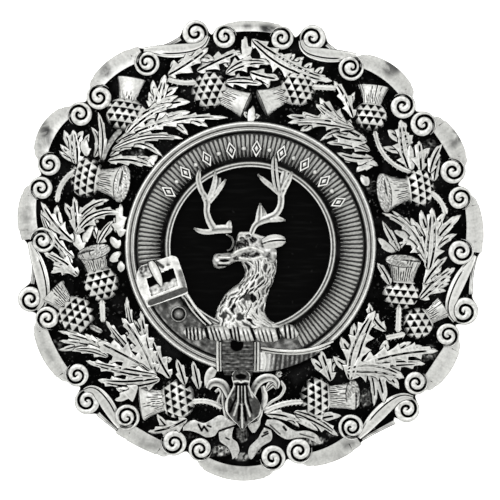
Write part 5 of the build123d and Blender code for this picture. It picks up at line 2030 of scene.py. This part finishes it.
@dataclass
class StrapRing:
    """The strap laid in a ring, with raised borders, close ribs and a row of lozenges.

    Attributes:
        drawing: The sheet and the dome.
        rib_pitch: Angle between the ribs in degrees.
        rib_first: Angle of the first rib, from the right.
        rib_last: Angle of the last; from there to the tail the strap is worn smooth.
        lozenges: Number of lozenges in the upper arc.
        first: Angle of the first lozenge in degrees, from the right.
        last: Angle of the last.
    """

    drawing: Drawing
    rib_pitch: float = 2.4
    rib_first: float = -62.0
    rib_last: float = 191.0
    lozenges: int = 9
    first: float = 27.0
    last: float = 146.0

    def ring(self) -> Casting:
        """The ring with its borders."""
        drawing = self.drawing
        made = drawing.on_dome()
        made.ring(drawing.ring_middle, drawing.profile(RING_PROFILE, drawing.badge_base), 480)
        x, y = drawing.ring_middle
        for index, (px, py, _) in enumerate(made.points):
            radius = math.hypot(px - x, py - y) / drawing.unit
            angle = math.degrees(math.atan2(py - y, px - x)) % 360
            if 87 < radius < 113.5 and self.rib_last < angle < 360 + self.rib_first:
                streak = ripple(angle * 0.5, radius, 2.2, 8.0) + 0.6 * ripple(angle * 1.7, radius, 4.0, 2.0)
                worn = min(step(self.rib_last, self.rib_last + 4, angle), step(87, 90, radius))
                made.tones[index] += (0.53 + 0.24 * streak - made.tones[index]) * worn
        return made

    def rib_form(self) -> bpy.types.Mesh:
        """One rib, laid along +X from the ring's centre."""
        made = self.drawing.by_itself()
        nodes = ((90, 0, 0.25), (94, 0, 0.8), (99, 0, 1.1), (104, 0, 1.35), (109, 0, 1.4), (112.3, 0, 0.9))
        section = Section(crown=0.5, edge=0.5, skirt=0.25, top=0.9, rim=0.7)
        made.sweep(smooth(nodes, 3.0), section, 0.0003, 0.0002)
        return made.mesh("rib")

    def rib_ring(self, material: bpy.types.Material) -> bpy.types.Object:
        """The ribs, by a node tree."""
        carrier = put("rib_form", self.rib_form())
        count = round((self.rib_last - self.rib_first) / self.rib_pitch)
        tree = Tree(
            "strap_ribs",
            Rib=("Object", carrier),
            Count=("Int", count),
            First=("Float", math.radians(self.rib_first)),
            Pitch=("Float", math.radians(self.rib_pitch)),
            Material=("Material", material),
        )
        line = tree.add("GeometryNodeMeshLine", {"Count": tree.inputs["Count"], "Offset": (0.0, 0.0, 0.0)})
        index = tree.add("GeometryNodeInputIndex").outputs[0]
        angle = tree.maths("MULTIPLY_ADD", index, tree.inputs["Pitch"], tree.inputs["First"])
        placed = tree.place(line.outputs[0], tree.form("Rib"), Rotation=tree.axes(Z=angle))
        middle = (*self.drawing.ring_middle, self.drawing.badge_base + 0.00098)
        moved = tree.add("GeometryNodeTransform", {"Geometry": placed, "Translation": middle})
        tree.end(moved.outputs[0])
        piece = tree.apply("strap_ribs", points_mesh("rib_start", [(0, 0, 0)]))
        bpy.data.objects.remove(carrier)
        return piece

    def lozenge_form(self) -> bpy.types.Mesh:
        """A raised lozenge with a sunk middle and a boss in it, its length along +Y."""
        unit = self.drawing.unit
        made = self.drawing.by_itself()
        rim = [(0.0, 9.5), (5.5, 0.0), (0.0, -9.5), (-5.5, 0.0)]
        profile = (
            (1.0, -0.0003, 0.0),
            (1.0, 0.00025, 0.2),
            (0.9, 0.0005, 0.95),
            (0.66, 0.0005, 0.9),
            (0.52, 0.0002, 0.15),
            (0.42, 0.0002, 0.12),
            (0.34, 0.00042, 0.9),
            (0.04, 0.00052, 0.95),
        )
        loops = []
        for share, height, tone in profile:
            loop = []
            for index, (x, y) in enumerate(rim):
                after = rim[(index + 1) % 4]
                for part in range(4):
                    mix = part / 4
                    px, py = x + (after[0] - x) * mix, y + (after[1] - y) * mix
                    loop.append((px * share * unit, py * share * unit, height, tone))
            loops.append(loop)
        made.loft(loops)
        return made.mesh("lozenge")

    def pellet_form(self) -> bpy.types.Mesh:
        """A small round boss."""
        unit = self.drawing.unit
        made = self.drawing.by_itself()
        profile = (
            (2.6, -0.0003, 0.0),
            (2.6, 0.0001, 0.2),
            (2.2, 0.0003, 0.9),
            (1.3, 0.00045, 0.95),
            (0.1, 0.0005, 0.95),
        )
        angles = [math.tau * index / 14 for index in range(14)]
        rows = []
        for radius, height, tone in profile:
            reach = radius * unit
            rows.append([(reach * math.cos(turn), reach * math.sin(turn), height, tone) for turn in angles])
        made.loft(rows)
        return made.mesh("pellet")

    def row(
        self, name: str, form: bpy.types.Mesh, offset: float, count: int, material: bpy.types.Material
    ) -> bpy.types.Object:
        """A row of forms in the upper arc, starting offset places after the first."""
        drawing = self.drawing
        x, y = drawing.ring_middle
        radius = 98.5 * drawing.unit
        level = drawing.badge_base + 0.00105
        pitch = (self.last - self.first) / (self.lozenges - 1)
        spots = []
        for index in range(count):
            angle = math.radians(self.first + pitch * (index + offset))
            place = x + radius * math.cos(angle), y + radius * math.sin(angle)
            spots.append((*place, level, angle - math.pi / 2, 1.0))
        return repeat_form(name, form, spots, material)


class Twist(NamedTuple):
    """A dark line across the torse: its places at the top and the bottom, its half width and its tone."""

    top: float
    bottom: float
    half: float
    tone: float


TAIL_STRIPS = (
    Strip(2.0, (), ((217.5, 341, 1.2), (217.5, 356, 1.2), (218, 371, 1.2))),
    Strip(2.0, (), ((220.6, 342, 0.9), (220.6, 356, 0.9), (221, 371, 0.9))),
    Strip(2.0, (), ((255.0, 342, 0.9), (255.0, 356, 0.9), (254.6, 371, 0.9))),
    Strip(2.0, (), ((258.2, 342, 1.2), (258.2, 356, 1.2), (257.8, 371, 1.2))),
    Strip(1.75, (),
          ((261, 347.5, 1.2), (280, 350.2, 1.5), (300, 350.6, 1.6), (318, 347, 1.5), (333, 341, 1.0))),
    Strip(1.7, (),
          ((262, 351, 0.8), (280, 353.4, 0.9), (300, 353.6, 1.0), (318, 350, 0.9), (330, 345.5, 0.6))),
    Strip(1.6, (), ((262, 352, 3.0), (263, 360, 3.6), (262, 369, 3.2)), 0.12),
)
BUCKLE_STRIPS = (
    Strip(2.95, (),
          ((150.8, 261.5, 2.2), (152.6, 265, 3.6), (155.6, 271, 3.9), (159, 278.5, 3.3), (162, 286, 1.0))),
    Strip(1.75, (), ((187, 294, 1.4), (194, 305, 1.5), (202, 315, 1.5), (211, 324, 1.4))),
    Strip(1.7, (), ((184.5, 298, 0.8), (191, 308.5, 0.9), (199, 318, 0.9), (206, 325, 0.8))),
)
BUCKLE_EDGES = (
    (141, 266, 172, 255.5),
    (138, 270.5, 177.5, 257.5),
    (136.5, 277, 181, 266),
    (137, 284, 184, 274.5),
    (140, 292, 186.5, 283),
    (144.5, 300.5, 188, 290),
    (147.5, 307.5, 188, 293.5),
)
ANTLERS = (
    Strip(1.7, (), ((232, 229.3, 3.4), (226, 229, 4.2), (219, 229.3, 4.2), (212, 230, 3.8)), 0.36),
    Strip(1.7, (), ((228, 229, 3.6), (229, 224.5, 2.8), (230.3, 220.5, 1.0))),
    Strip(1.65, (), ((214, 231.3, 2.8), (207, 232, 2.6), (200, 231, 2.3), (194, 228.3, 1.0))),
    Strip(1.75, (),
          ((214, 229, 3.8), (209.5, 221, 3.4), (206.8, 212, 2.9), (207, 203, 3.1), (204, 196, 2.8)), 0.36),
    Strip(1.95, (),
          ((207, 199, 2.6), (201.6, 191, 2.7), (198.7, 181.5, 2.6), (198.8, 174.5, 2.1),
           (200, 169.5, 0.9)), 0.2),
    Strip(1.95, (), ((208, 200, 2.6), (212.5, 190.5, 2.6), (215, 181, 2.4), (215.3, 170.5, 0.9))),
    Strip(1.85, (), ((209, 202, 2.6), (216.5, 193, 2.5), (221.5, 186, 2.2), (226, 179.3, 0.9))),
    Strip(1.6, (), ((215, 191, 1.6), (219, 185, 2.0), (219.5, 178, 1.4))),
    Strip(1.75, (), ((251, 234, 2.4), (255, 225.5, 2.8), (261, 221, 3.6), (270, 218, 3.8)), 0.36),
    Strip(1.75, (), ((258.5, 222, 3.6), (259.5, 213, 3.0), (260.2, 203, 0.9)), 0.36),
    Strip(1.6, (), ((266, 219.5, 2.8), (264.5, 212.5, 1.6), (262, 206, 0.6))),
    Strip(1.7, (), ((268, 219, 3.4), (277, 219, 3.0), (285.5, 220.5, 0.9))),
    Strip(1.75, (),
          ((266, 219, 3.8), (275, 214.5, 3.4), (280, 207, 3.2), (281, 197, 3.1), (279, 188, 3.2)), 0.36),
    Strip(1.85, (), ((280, 194, 2.6), (273, 188, 2.5), (265, 181.5, 2.4), (257.5, 174.5, 0.9))),
    Strip(2.1, (0.0,),
          ((278, 192, 2.8), (275.8, 182, 3.4), (274.5, 170, 3.4), (274.3, 161, 2.6), (274.2, 156.5, 1.0))),
    Strip(1.9, (), ((280.5, 197, 3.0), (284, 189, 2.9), (288.3, 180.5, 2.8), (292, 172, 1.2)), 0.2),
    Strip(1.65, (), ((280, 190, 2.0), (283, 180, 3.4), (285, 171.5, 3.0)), 0.36),
)
TORSE_LINES = (
    Twist(186.5, 187.5, 0.6, 0.1),
    Twist(190, 191, 0.6, 0.1),
    Twist(193.5, 194.8, 0.6, 0.1),
    Twist(197.3, 198.5, 0.6, 0.15),
    Twist(201.5, 202.5, 0.5, 0.3),
    Twist(205, 209, 1.3, 0.1),
    Twist(210, 214.5, 0.5, 0.1),
    Twist(213.5, 218.5, 0.5, 0.15),
    Twist(217.5, 222, 0.4, 0.2),
    Twist(223, 227, 0.4, 0.4),
    Twist(229.5, 232.8, 0.9, 0.05),
    Twist(233.8, 236.3, 0.6, 0.15),
    Twist(237.3, 240, 0.6, 0.1),
    Twist(242, 246, 0.4, 0.35),
    Twist(246, 250.3, 0.4, 0.4),
    Twist(250.5, 256, 1.2, 0.1),
    Twist(256.8, 261, 0.4, 0.4),
    Twist(260.5, 265, 0.4, 0.2),
    Twist(264.5, 269, 0.4, 0.3),
    Twist(269, 273, 0.4, 0.2),
    Twist(276.5, 280, 1.2, 0.1),
    Twist(284.5, 286, 0.7, 0.1),
    Twist(289, 290.5, 0.7, 0.1),
    Twist(293.5, 294.5, 0.4, 0.3),
)


@dataclass
class BadgeFittings:
    """The buckle, the eyelet, the strap's tail and tip, and the antlers.

    Attributes:
        drawing: The sheet and the dome.
    """

    drawing: Drawing

    def strips(self, rows: Sequence[Strip], section: Section, spacing: float = 1.0) -> Casting:
        """Strips on the badge's flat base."""
        made = self.drawing.on_badge()
        for strip in rows:
            shape = replace(section, veins=strip.veins, top=section.top - strip.dark)
            made.sweep(smooth(strip.nodes, spacing), shape, strip.rise * MILLIMETRE, sink=-0.0001)
        return made

    def buckle(self) -> Casting:
        """The frame with the strap in its window, and the tongue."""
        made = self.strips(BUCKLE_STRIPS, Section(crown=0.03, edge=0.6, skirt=1.0, top=0.97, mottle=0.03))
        middle_x, middle_y = 162.5, 282.0
        right_x, right_y, down_x, down_y = 13.0, -5.3, 2.3, 8.5
        area = right_x * down_y - right_y * down_x
        strokes = (
            Stroke(151, 302.5, 184.5, 289.8, 2.6, 0.25, 0.47),
            Stroke(180.2, 272, 184.5, 285, 1.8, 0.1, 0.56),
            Stroke(155.5, 262, 163, 267, 1.2, 0.2, 0.45),
        )
        marks = (Mark(168.5, 264.8, 1.8, 1.3, 0.1, 0.5), Mark(157, 275.5, 1.0, 1.6, 0.1, 0.3))

        def frame_face(x: float, y: float, across: float, along: float) -> Pair:
            """The bevelled frame, its edges painted bright as a highlight; inside its window the strap is
            dark towards the top and bright towards the bottom.
            """
            from_x, from_y = x - middle_x, y - middle_y
            side = (from_x * down_y - from_y * down_x) / area
            down = (right_x * from_y - right_y * from_x) / area
            reach = max(abs(side), abs(down))
            if reach < 1.0:
                # Bright towards the bottom of the window, dark towards the top.
                worn = step(0.1, 0.3, down + 0.25 * step(0.3, -0.5, side) + 0.2 * ripple(x, y, 5.0, 2.0))
                return 0.00156, 0.1 + (0.66 + 0.3 * ripple(x, y, 3.0, 1.0)) * worn
            dull = step(12.0, 4.0, math.dist((x, y), (144, 269))) * (0.3 + 0.4 * ripple(x, y, 2.5, 6.0))
            tone = 0.88 + 0.18 * ripple(x, y, 5.0, 4.0) - max(dull, 0.0)
            height, tone = carve(x, y, 0.0023, tone, marks, strokes)
            # The frame's edges round the window and outside are a painted highlight.
            return height, 1.0 if reach < 1.14 or abs(across) > 0.95 or abs(along) > 0.96 else tone

        made.panel(BUCKLE_EDGES, 56, frame_face, sink=-0.0001, spacing=0.7)
        return made

    def tail(self) -> Casting:
        """The strap's end below the torse, its edges, and the ribbed part beside it."""
        made = self.strips(TAIL_STRIPS, Section(crown=0.05, edge=0.4, skirt=0.3, top=0.92))

        def web(x: float, y: float, across: float, along: float) -> Pair:
            """The tail's worn face, with an eyelet half under the torse."""
            hole = math.dist((x, y), (237, 344.5))
            tone = 0.42 + 0.2 * ripple(x, y * 3.0, 5.0, 2.0) - 0.2 * step(370, 376, y)
            tone += 0.13 if (y / 4.2) % 1.0 < 0.25 else 0.0
            dark = step(7.0, 5.4, hole)
            return 0.00165 - 0.0004 * dark, tone * (1 - 0.85 * dark)

        def ribbed(x: float, y: float, across: float, along: float) -> Pair:
            """The ribbed face that runs on to the bezel."""
            beside = abs(((x + 0.12 * (y - 360)) / 4.6) % 1.0 - 0.5)
            rib = step(0.34, 0.2, beside) * step(-0.95, -0.8, along)
            patch = step(276, 268, x) * 0.3
            return 0.00145 + 0.0001 * rib, 0.38 + (0.17 + 0.2 * ripple(x, y, 4.0, 1.0)) * rib + patch

        band = (
            (222, 340, 253.5, 340),
            (222, 356, 253.5, 356),
            (223, 371.5, 253, 371.5),
            (226, 376.5, 252, 376.5),
        )
        made.panel(band, 40, web)
        side = (
            (265.5, 352.5, 265.5, 371.5),
            (277, 354, 278, 369.8),
            (291, 354.3, 293, 365.3),
            (304, 353.3, 306, 359.8),
            (314, 351.5, 318, 353.4),
        )
        made.panel(side, 30, ribbed, spacing=0.6)
        return made

    def tip(self) -> Casting:
        """The metal tip of the strap: an arched top, a waist and three flutes to a point."""
        drawing = self.drawing

        def level(x: float, y: float) -> float:
            """The tip leaves the strap's level and follows the dome down."""
            ground = drawing.dome(x, y)
            return max(min(drawing.badge_base + 0.0014, ground + 0.0023), ground + 0.0016)

        made = Casting(drawing.place, level)
        edges = (
            (238, 369.5, 243, 369.5),
            (234, 371.5, 247.5, 371.5),
            (231.7, 375, 250.5, 375),
            (232.3, 380.5, 250, 380.5),
            (233.3, 385, 249.5, 385),
            (230.5, 391, 252, 391),
            (227, 397, 256.5, 397),
            (225, 403, 260, 403),
            (225, 409, 261.5, 409),
            (228, 415, 260, 415),
            (232.5, 420, 254, 420),
            (238, 425, 247.5, 425),
            (241.5, 430, 243.5, 430),
        )
        strokes = (
            Stroke(233.5, 381.5, 237.5, 380.5, 0.7, -0.15, 1.0),
            Stroke(237.5, 380.5, 241, 382, 0.7, -0.15, 1.0),
            Stroke(241, 382, 245, 380.5, 0.7, -0.15, 1.0),
            Stroke(245, 380.5, 249.5, 381.5, 0.7, -0.15, 1.0),
            Stroke(240, 386, 240.5, 402, 0.5, 0.2, 0.03),
            Stroke(243.2, 386, 243, 402, 0.5, 0.2, 0.03),
            Stroke(236.5, 386, 236, 398, 0.5, 0.2, 0.06),
            Stroke(236, 398, 229.5, 412, 0.5, 0.2, 0.06),
            Stroke(246.3, 386, 247.5, 398, 0.5, 0.2, 0.06),
            Stroke(247.5, 398, 251.5, 412, 0.5, 0.2, 0.06),
            Stroke(238.4, 386, 238, 402, 0.5, -0.15, 0.9),
            Stroke(238, 402, 234, 415, 0.7, -0.15, 0.9),
            Stroke(244.8, 386, 245.5, 402, 0.5, -0.15, 0.9),
            Stroke(245.5, 402, 250, 416, 0.7, -0.15, 0.9),
            Stroke(241.7, 386, 241.8, 404, 0.4, -0.1, 0.8),
            Stroke(241.8, 404, 242.3, 427, 0.8, -0.25, 0.92),
            Stroke(234, 386, 227.5, 399, 0.7, -0.15, 0.98),
            Stroke(227.5, 399, 227, 410, 0.7, -0.15, 0.98),
            Stroke(248.7, 386, 252.5, 397, 0.6, -0.1, 0.9),
            Stroke(239.6, 406, 238.5, 420, 0.9, 0.25, 0.03),
            Stroke(244.3, 406, 246, 420, 0.9, 0.25, 0.03),
        )
        marks = (
            Mark(241, 376.3, 5.2, 2.4, 0.3, 0.08),
            Mark(241.3, 384.2, 6.5, 1.2, 0.2, 0.06),
            Mark(230.5, 405, 2.4, 7, 0.2, 0.34),
            Mark(256, 406, 4.4, 8, 0.2, 0.42),
        )

        def face(x: float, y: float, across: float, along: float) -> Pair:
            """The tip's rounded face with its flutes."""
            height = 0.0008 * (1 - 0.45 * across**2)
            # The tip's edges are painted bright as a highlight.
            tone = 0.95 if abs(across) > 0.9 else 0.48 + 0.24 * ripple(x, y, 3.0, 4.0)
            return carve(x, y, height, tone, marks, strokes)

        made.panel(edges, 60, face, sink=0.0009, spacing=0.6)
        return made

    def eyelet(self) -> Casting:
        """The small ringed button on the strap."""
        drawing = self.drawing
        made = drawing.on_badge()
        rim = (
            (5.2, 1.0, 0.1),
            (5.2, 1.3, 0.3),
            (6.2, 1.35, 0.22),
            (7.0, 1.5, 0.72),
            (7.8, 1.45, 0.66),
            (8.3, 1.0, 0.3),
        )
        boss = (
            (0.1, 1.0, 0.3),
            (0.1, 1.6, 0.66),
            (2.0, 1.56, 0.6),
            (4.2, 1.4, 0.5),
            (5.4, 1.25, 0.36),
            (5.6, 1.0, 0.1),
        )
        for rows, steps in ((rim, 48), (boss, 32)):
            made.ring(drawing.place(178.8, 314), drawing.profile(rows, drawing.badge_base), steps)
        return made


def carve(
    x: float, y: float, height: float, tone: float, marks: Sequence[Mark], strokes: Sequence[Stroke]
) -> Pair:
    """Cuts spots and lines into a panel's height and tone at a point.

    Args:
        x: The point on the sheet.
        y: The point on the sheet.
        height: The height before, in metres.
        tone: The tone before.
        marks: Oval spots.
        strokes: Straight lines.

    Returns:
        The height and the tone after.
    """
    for mark in marks:
        distance = mark.reach(x, y)
        if distance < 1.3:
            share = step(1.25, 0.75, distance)
            height -= mark.depth * MILLIMETRE * share
            tone += (mark.tone - tone) * share
    for line in strokes:
        run_x, run_y = line.end_x - line.x, line.end_y - line.y
        share = ((x - line.x) * run_x + (y - line.y) * run_y) / (run_x**2 + run_y**2)
        share = min(max(share, 0.0), 1.0)
        distance = math.hypot(x - line.x - run_x * share, y - line.y - run_y * share)
        if distance < line.half + 0.8:
            weight = step(line.half + 0.7, line.half - 0.2, distance)
            height -= line.depth * MILLIMETRE * weight
            tone += (line.tone - tone) * weight
    return height, tone


@dataclass
class Stag:
    """The stag's head and neck, cast in relief over the open field.

    Attributes:
        drawing: The sheet and the dome.
        rise: Height of the head and neck above the badge's base, in metres.
        locks: Number of locks of the coat across half the neck.
        lock_length: Length of a lock, in sheet units.
    """

    drawing: Drawing
    rise: float = 0.0021
    locks: float = 4.8
    lock_length: float = 11.0

    def coat(self, x: float, y: float, across: float, along: float) -> Pair:
        """The neck's long wavy coat."""
        height = self.rise * (0.5 + 0.5 * (1 - across**2) ** 0.6)
        spot = across * self.locks + 0.9 * ripple(x, y, 9.0, 4.0) + 0.35 * math.sin(y / 4.2 + 4 * across)
        lock = math.floor(spot)
        level = y / self.lock_length + 0.37 * lock + 0.6 * ripple(x, y, 12.0, 2.0)
        row = math.floor(level)
        spread, dark = (chance(lock + 0.5, row + 0.5, seed) for seed in (0.5, 7.5))
        beside, along_lock = abs(spot - lock - 0.5) * 2, (level - row - 0.5) * 2
        gap = step(0.0, 0.28, (0.4 + 0.5 * spread) * (1 - along_lock**2) - beside)
        line = step(0.8, 0.98, beside) * 0.25
        tone = 0.92 - line - gap * (0.28 + 0.5 * dark) + 0.16 * ripple(x, y, 1.6, 7.0)
        # The neck's edges are painted bright as a highlight.
        tone = max(tone, 0.94) if abs(across) > 0.93 else tone
        marks = (
            Mark(247, 297, 3.2, 4, 0.1, 0.42),
            Mark(240, 317, 3.5, 4, 0.1, 0.4),
            Mark(224, 315, 2.6, 4.5, 0.1, 0.4),
        )
        shift_x, shift_y = 2.2 * ripple(x, y, 2.6, 21.0), 2.2 * ripple(x, y, 2.6, 31.0)
        return carve(x + shift_x, y + shift_y, height - 0.0002 * gap, tone, marks, ())

    def features(self, x: float, y: float, across: float, along: float) -> Pair:
        """The head's modelling: brow, eye, cheek, nostril and mouth."""
        height = self.rise * (0.62 + 0.38 * (1 - across**2) ** 0.6)
        tone = 0.72 + 0.35 * ripple(x, y, 3.4, 1.0)
        # The head's edges are painted bright as a highlight.
        tone = 0.98 if abs(across) > 0.84 else tone
        marks = (
            Mark(238.8, 245, 3.8, 4.2, 0.15, 0.34),
            Mark(245.2, 243, 4.2, 4.0, 0.15, 0.36),
            Mark(242, 238.6, 2.6, 1.6, 0.15, 0.45),
            Mark(253.5, 239.8, 3.8, 2.6, 0.15, 0.3),
            Mark(245.5, 255.2, 4.6, 2.2, 0.15, 0.4),
            Mark(254.5, 254.6, 5.2, 3.2, 0.15, 0.34),
            Mark(263, 243, 2.2, 3.0, 0.15, 0.48),
            Mark(236, 258.5, 3.0, 1.6, 0.15, 0.4),
            Mark(224.5, 260.5, 4.2, 1.3, 0.25, 0.05),
            Mark(248, 235.5, 2.6, 1.4, 0.15, 0.4),
            Mark(268, 258, 2.4, 3.4, 0.15, 0.45),
        )
        strokes = (
            Stroke(232, 254, 240, 250, 0.9, -0.15, 1.0),
            Stroke(240, 250, 250, 247, 1.0, -0.2, 1.0),
            Stroke(250, 247, 257, 249, 1.0, -0.2, 1.0),
            Stroke(257, 249, 263, 252, 0.9, -0.15, 1.0),
            Stroke(240, 258.5, 250, 259.5, 0.9, -0.15, 1.0),
            Stroke(250, 259.5, 262, 256.5, 0.9, -0.15, 1.0),
            Stroke(250.5, 254.5, 256, 251.8, 0.6, -0.1, 0.75),
            Stroke(218, 265.2, 230, 265.8, 0.5, 0.2, 0.05),
            Stroke(219, 257, 230, 257.5, 0.7, -0.1, 0.95),
            Stroke(219.5, 263.3, 230, 263.3, 0.6, -0.1, 0.95),
        )
        bent = 1.4 * step(230, 236, x)
        near_x, near_y = x + bent * ripple(x, y, 2.4, 21.0), y + bent * ripple(x, y, 2.4, 31.0)
        height, tone = carve(near_x, near_y, height, tone, marks, ())
        tone += (0.35 * ripple(x, y, 1.5, 2.0) if tone < 0.6 else 0.0) * bent
        return carve(x, y, height, tone, (), strokes)

    def casting(self) -> Casting:
        """The neck, the head and the ears in one piece."""
        made = self.drawing.on_badge()
        neck = (
            (240.5, 260.5, 276.5, 256.5),
            (244.5, 270, 277, 266),
            (244, 276, 275.5, 274),
            (240, 282, 273, 283),
            (233, 287, 269.5, 290),
            (227, 292, 267.5, 297),
            (222, 299, 266, 303),
            (217.5, 308, 265, 311),
            (214.5, 317, 268, 317.5),
            (211, 323, 274, 322),
            (207, 329, 284, 327),
        )
        made.panel(neck, 56, self.coat, sink=-0.0001)
        head = (
            (212.6, 259, 212.6, 263),
            (214, 255, 214, 266.5),
            (218, 253.3, 218, 268.7),
            (223, 253, 223, 268.2),
            (229, 252.5, 229, 265.5),
            (232.5, 252, 232.5, 263.2),
            (235.5, 243, 235.5, 262.2),
            (238.5, 232.5, 238.5, 261.5),
            (244, 231.5, 244, 262.5),
            (250, 231.5, 250, 264.5),
            (256, 233.5, 256, 267),
            (262, 235.5, 262, 268.5),
            (268, 237, 268, 268),
            (273, 243, 273, 265),
            (276.5, 249, 276.5, 259),
        )
        made.panel(head, 44, self.features, sink=-0.0001)
        plain = Section(crown=0.14, edge=0.8, top=0.84)
        ears = (
            Strip(2.365, (-0.1,),
                  ((263, 244, 5.0), (270, 242, 6.6), (277, 241, 6.6), (282.5, 240.8, 5.0),
                   (285.6, 241, 2.2))),
            Strip(1.98, (),
                  ((227, 250.5, 0.7), (231, 248.5, 0.9), (233.3, 243, 1.0), (231.5, 237.5, 0.9),
                   (226, 234.5, 0.7))),
        )
        for ear in ears:
            shape = replace(plain, veins=ear.veins)
            made.sweep(smooth(ear.nodes, 1.0), shape, ear.rise * MILLIMETRE, sink=-0.0001)
        return made

    def torse(self) -> Casting:
        """The twisted wreath under the neck."""
        made = self.drawing.on_badge()
        twists = (
            (184, 205, 326.5, 340),
            (203, 232, 325.5, 340.5),
            (229.5, 257.5, 326, 341.5),
            (253.5, 280, 326.5, 342),
            (280, 297.5, 324.5, 338.5),
        )
        for left, right, top, bottom in twists:
            middle_y, half_y = (top + bottom) / 2, (bottom - top) / 2
            rows = []
            for count in range(13):
                share = -math.cos(math.pi * (count + 0.35) / 12.7)
                x = (left + right) / 2 + (right - left) / 2 * share
                half = half_y * (1 - abs(share) ** 3) ** 0.5 + 0.5
                rows.append((x - 1.5, middle_y - half, x + 1.5, middle_y + half))

            def strands(x: float, y: float, across: float, along: float) -> Pair:
                """The strands that run slanting round the wreath."""
                height = 0.0016 + 0.0010 * (1 - across**2) ** 0.5 * (1 - 0.35 * along**2)
                tone = 0.88 + 0.16 * ripple(x, y, 2.5, 3.0)
                share = (y - top) / (bottom - top)
                for line in TORSE_LINES:
                    beside = abs(x - line.top - (line.bottom - line.top) * share)
                    weight = step(line.half + 0.7, line.half - 0.1, beside) * step(1.0, 0.86, abs(across))
                    weight *= step(-0.1, 0.5, share + line.half - 0.4)
                    height -= 0.00012 * weight
                    tone += (line.tone - tone) * weight
                return height, tone

            made.panel(rows, 26, strands, sink=-0.0001, spacing=0.8)
        return made


@dataclass
class Studio:
    """A plain pale floor that glows as painted light to wash out the brooch's shadow, soft light and the
    camera straight over the brooch.

    Attributes:
        frame_width: The width that the camera sees at the brooch, in metres.
        level: The height over the floor at which it sees that width.
        height: The camera's height.
        sensor: The camera's sensor width in millimetres.
        reach: Half width of the floor.
        sky: Colour of the light from all round.
        glow: Strength of that light.
    """

    frame_width: float = 2 * Drawing.middle * Drawing.half_width / Drawing.half
    level: float = 0.006
    height: float = 2.0
    sensor: float = 36.0
    reach: float = 1.5
    sky: Corner = (0.995, 1.0, 0.965, 1.0)
    glow: float = 0.84

    def light(self, name: str, size: float, energy: float, place: Triple) -> None:
        """Adds one soft light that faces the brooch."""
        data = bpy.data.lights.new(name, "AREA")
        data.shape = "DISK"
        data.size = size
        data.energy = energy
        lamp = put(name, data)
        lamp.location = place
        lamp.rotation_euler = (-Vector(place)).to_track_quat("-Z", "Y").to_euler()

    def build(self) -> None:
        """Makes the floor, the lights, the world and the camera."""
        mesh = bpy.data.meshes.new("floor")
        corners = [(self.reach * x, self.reach * y, 0) for x, y in ((-1, -1), (1, -1), (1, 1), (-1, 1))]
        mesh.from_pydata(corners, [], [(0, 1, 2, 3)])
        mix = Mixer("glowing_pale_floor")
        # The floor glows, painted light that lifts the brooch's shadow off it and lights the brooch from
        # below.
        glow = {"Emission_Color": (1.0, 1.0, 1.0, 1.0), "Emission_Strength": 0.8}
        shade = mix.shades(mix.cloud(9.0, 2.0), ((0.0, 0.93), (1.0, 0.96)))
        pale = mix.finish(mix.cloud(60.0, 2.0), 0.00001, Base_Color=shade, Roughness=0.9, **glow)
        mesh.materials.append(pale)
        put("floor", mesh)
        world = bpy.data.worlds.new("studio")
        world.use_nodes = True
        background = world.node_tree.nodes["Background"]
        background.inputs["Color"].default_value = self.sky
        background.inputs["Strength"].default_value = self.glow
        bpy.context.scene.world = world
        self.light("softbox_over", 0.9, 3.5, (-0.25, 0.35, 1.1))
        self.light("softbox_side", 0.5, 0.4, (0.7, -0.2, 0.6))
        data = bpy.data.cameras.new("camera")
        data.sensor_width = self.sensor
        data.lens = self.sensor * (self.height - self.level) / self.frame_width
        data.clip_end = 10.0
        camera = put("camera", data)
        camera.location = (0.0, 0.0, self.height)
        bpy.context.scene.camera = camera
        bpy.context.scene.view_settings.view_transform = "Standard"


def dress(node: str, material: bpy.types.Material) -> None:
    """Gives a solid that is shown as it is its finish."""
    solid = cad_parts[node]
    for spot in solid.material_slots:
        spot.material = material


def main() -> None:
    """Builds the brooch piece by piece and closes the scene."""
    logging.basicConfig(level=logging.INFO, format="%(message)s")
    drawing = Drawing()
    metal = AntiquedMetal(Slot.METAL).make()
    badge = AntiquedMetal(Slot.BADGE, mottle=0.2, grain=0.3).make()
    Studio().build()
    plate = Plate(drawing)
    border = ScrollBorder(plate)
    deliver(plate.body().build("plate_body", metal), Slot.METAL, "cast_plate")
    deliver(plate.stipple(metal), Slot.METAL)
    rims = {"bezel": plate.bezel(), "lobe_bands": border.bands(), "scroll_bands": border.scroll_bands()}
    deliver_castings(rims, metal, Slot.METAL)
    for piece in border.curls(metal):
        deliver(piece, Slot.METAL)
    deliver_castings(Foliage(drawing).leaves(), metal, Slot.METAL)
    deliver_castings(ThistleWreath(drawing).castings(), metal, Slot.METAL)
    deliver_castings({"foot_ribbon": FootRibbon(drawing).casting()}, metal, Slot.METAL)
    strap = StrapRing(drawing)
    count = strap.lozenges
    deliver(strap.ring().build("strap_ring", badge), Slot.BADGE, "crest_badge")
    deliver(strap.rib_ring(badge), Slot.BADGE)
    deliver(strap.row("strap_lozenges", strap.lozenge_form(), 0, count, badge), Slot.BADGE)
    deliver(strap.row("strap_pellets", strap.pellet_form(), 0.5, count - 1, badge), Slot.BADGE)
    fittings = BadgeFittings(drawing)
    horn = Section(crown=0.1, edge=1.1, skirt=0.1, top=0.86, mottle=0.4)
    stag = Stag(drawing)
    badge_castings = {
        "buckle": fittings.buckle(),
        "antlers": fittings.strips(ANTLERS, horn),
        "strap_tail": fittings.tail(),
        "strap_tip": fittings.tip(),
        "strap_eyelet": fittings.eyelet(),
        "stag": stag.casting(),
        "torse": stag.torse(),
    }
    deliver_castings(badge_castings, badge, Slot.BADGE)
    dress("ground_disc", BlackField().make())
    dress("pin_fitting", PinSteel().make())


if __name__ == "__main__":
    main()
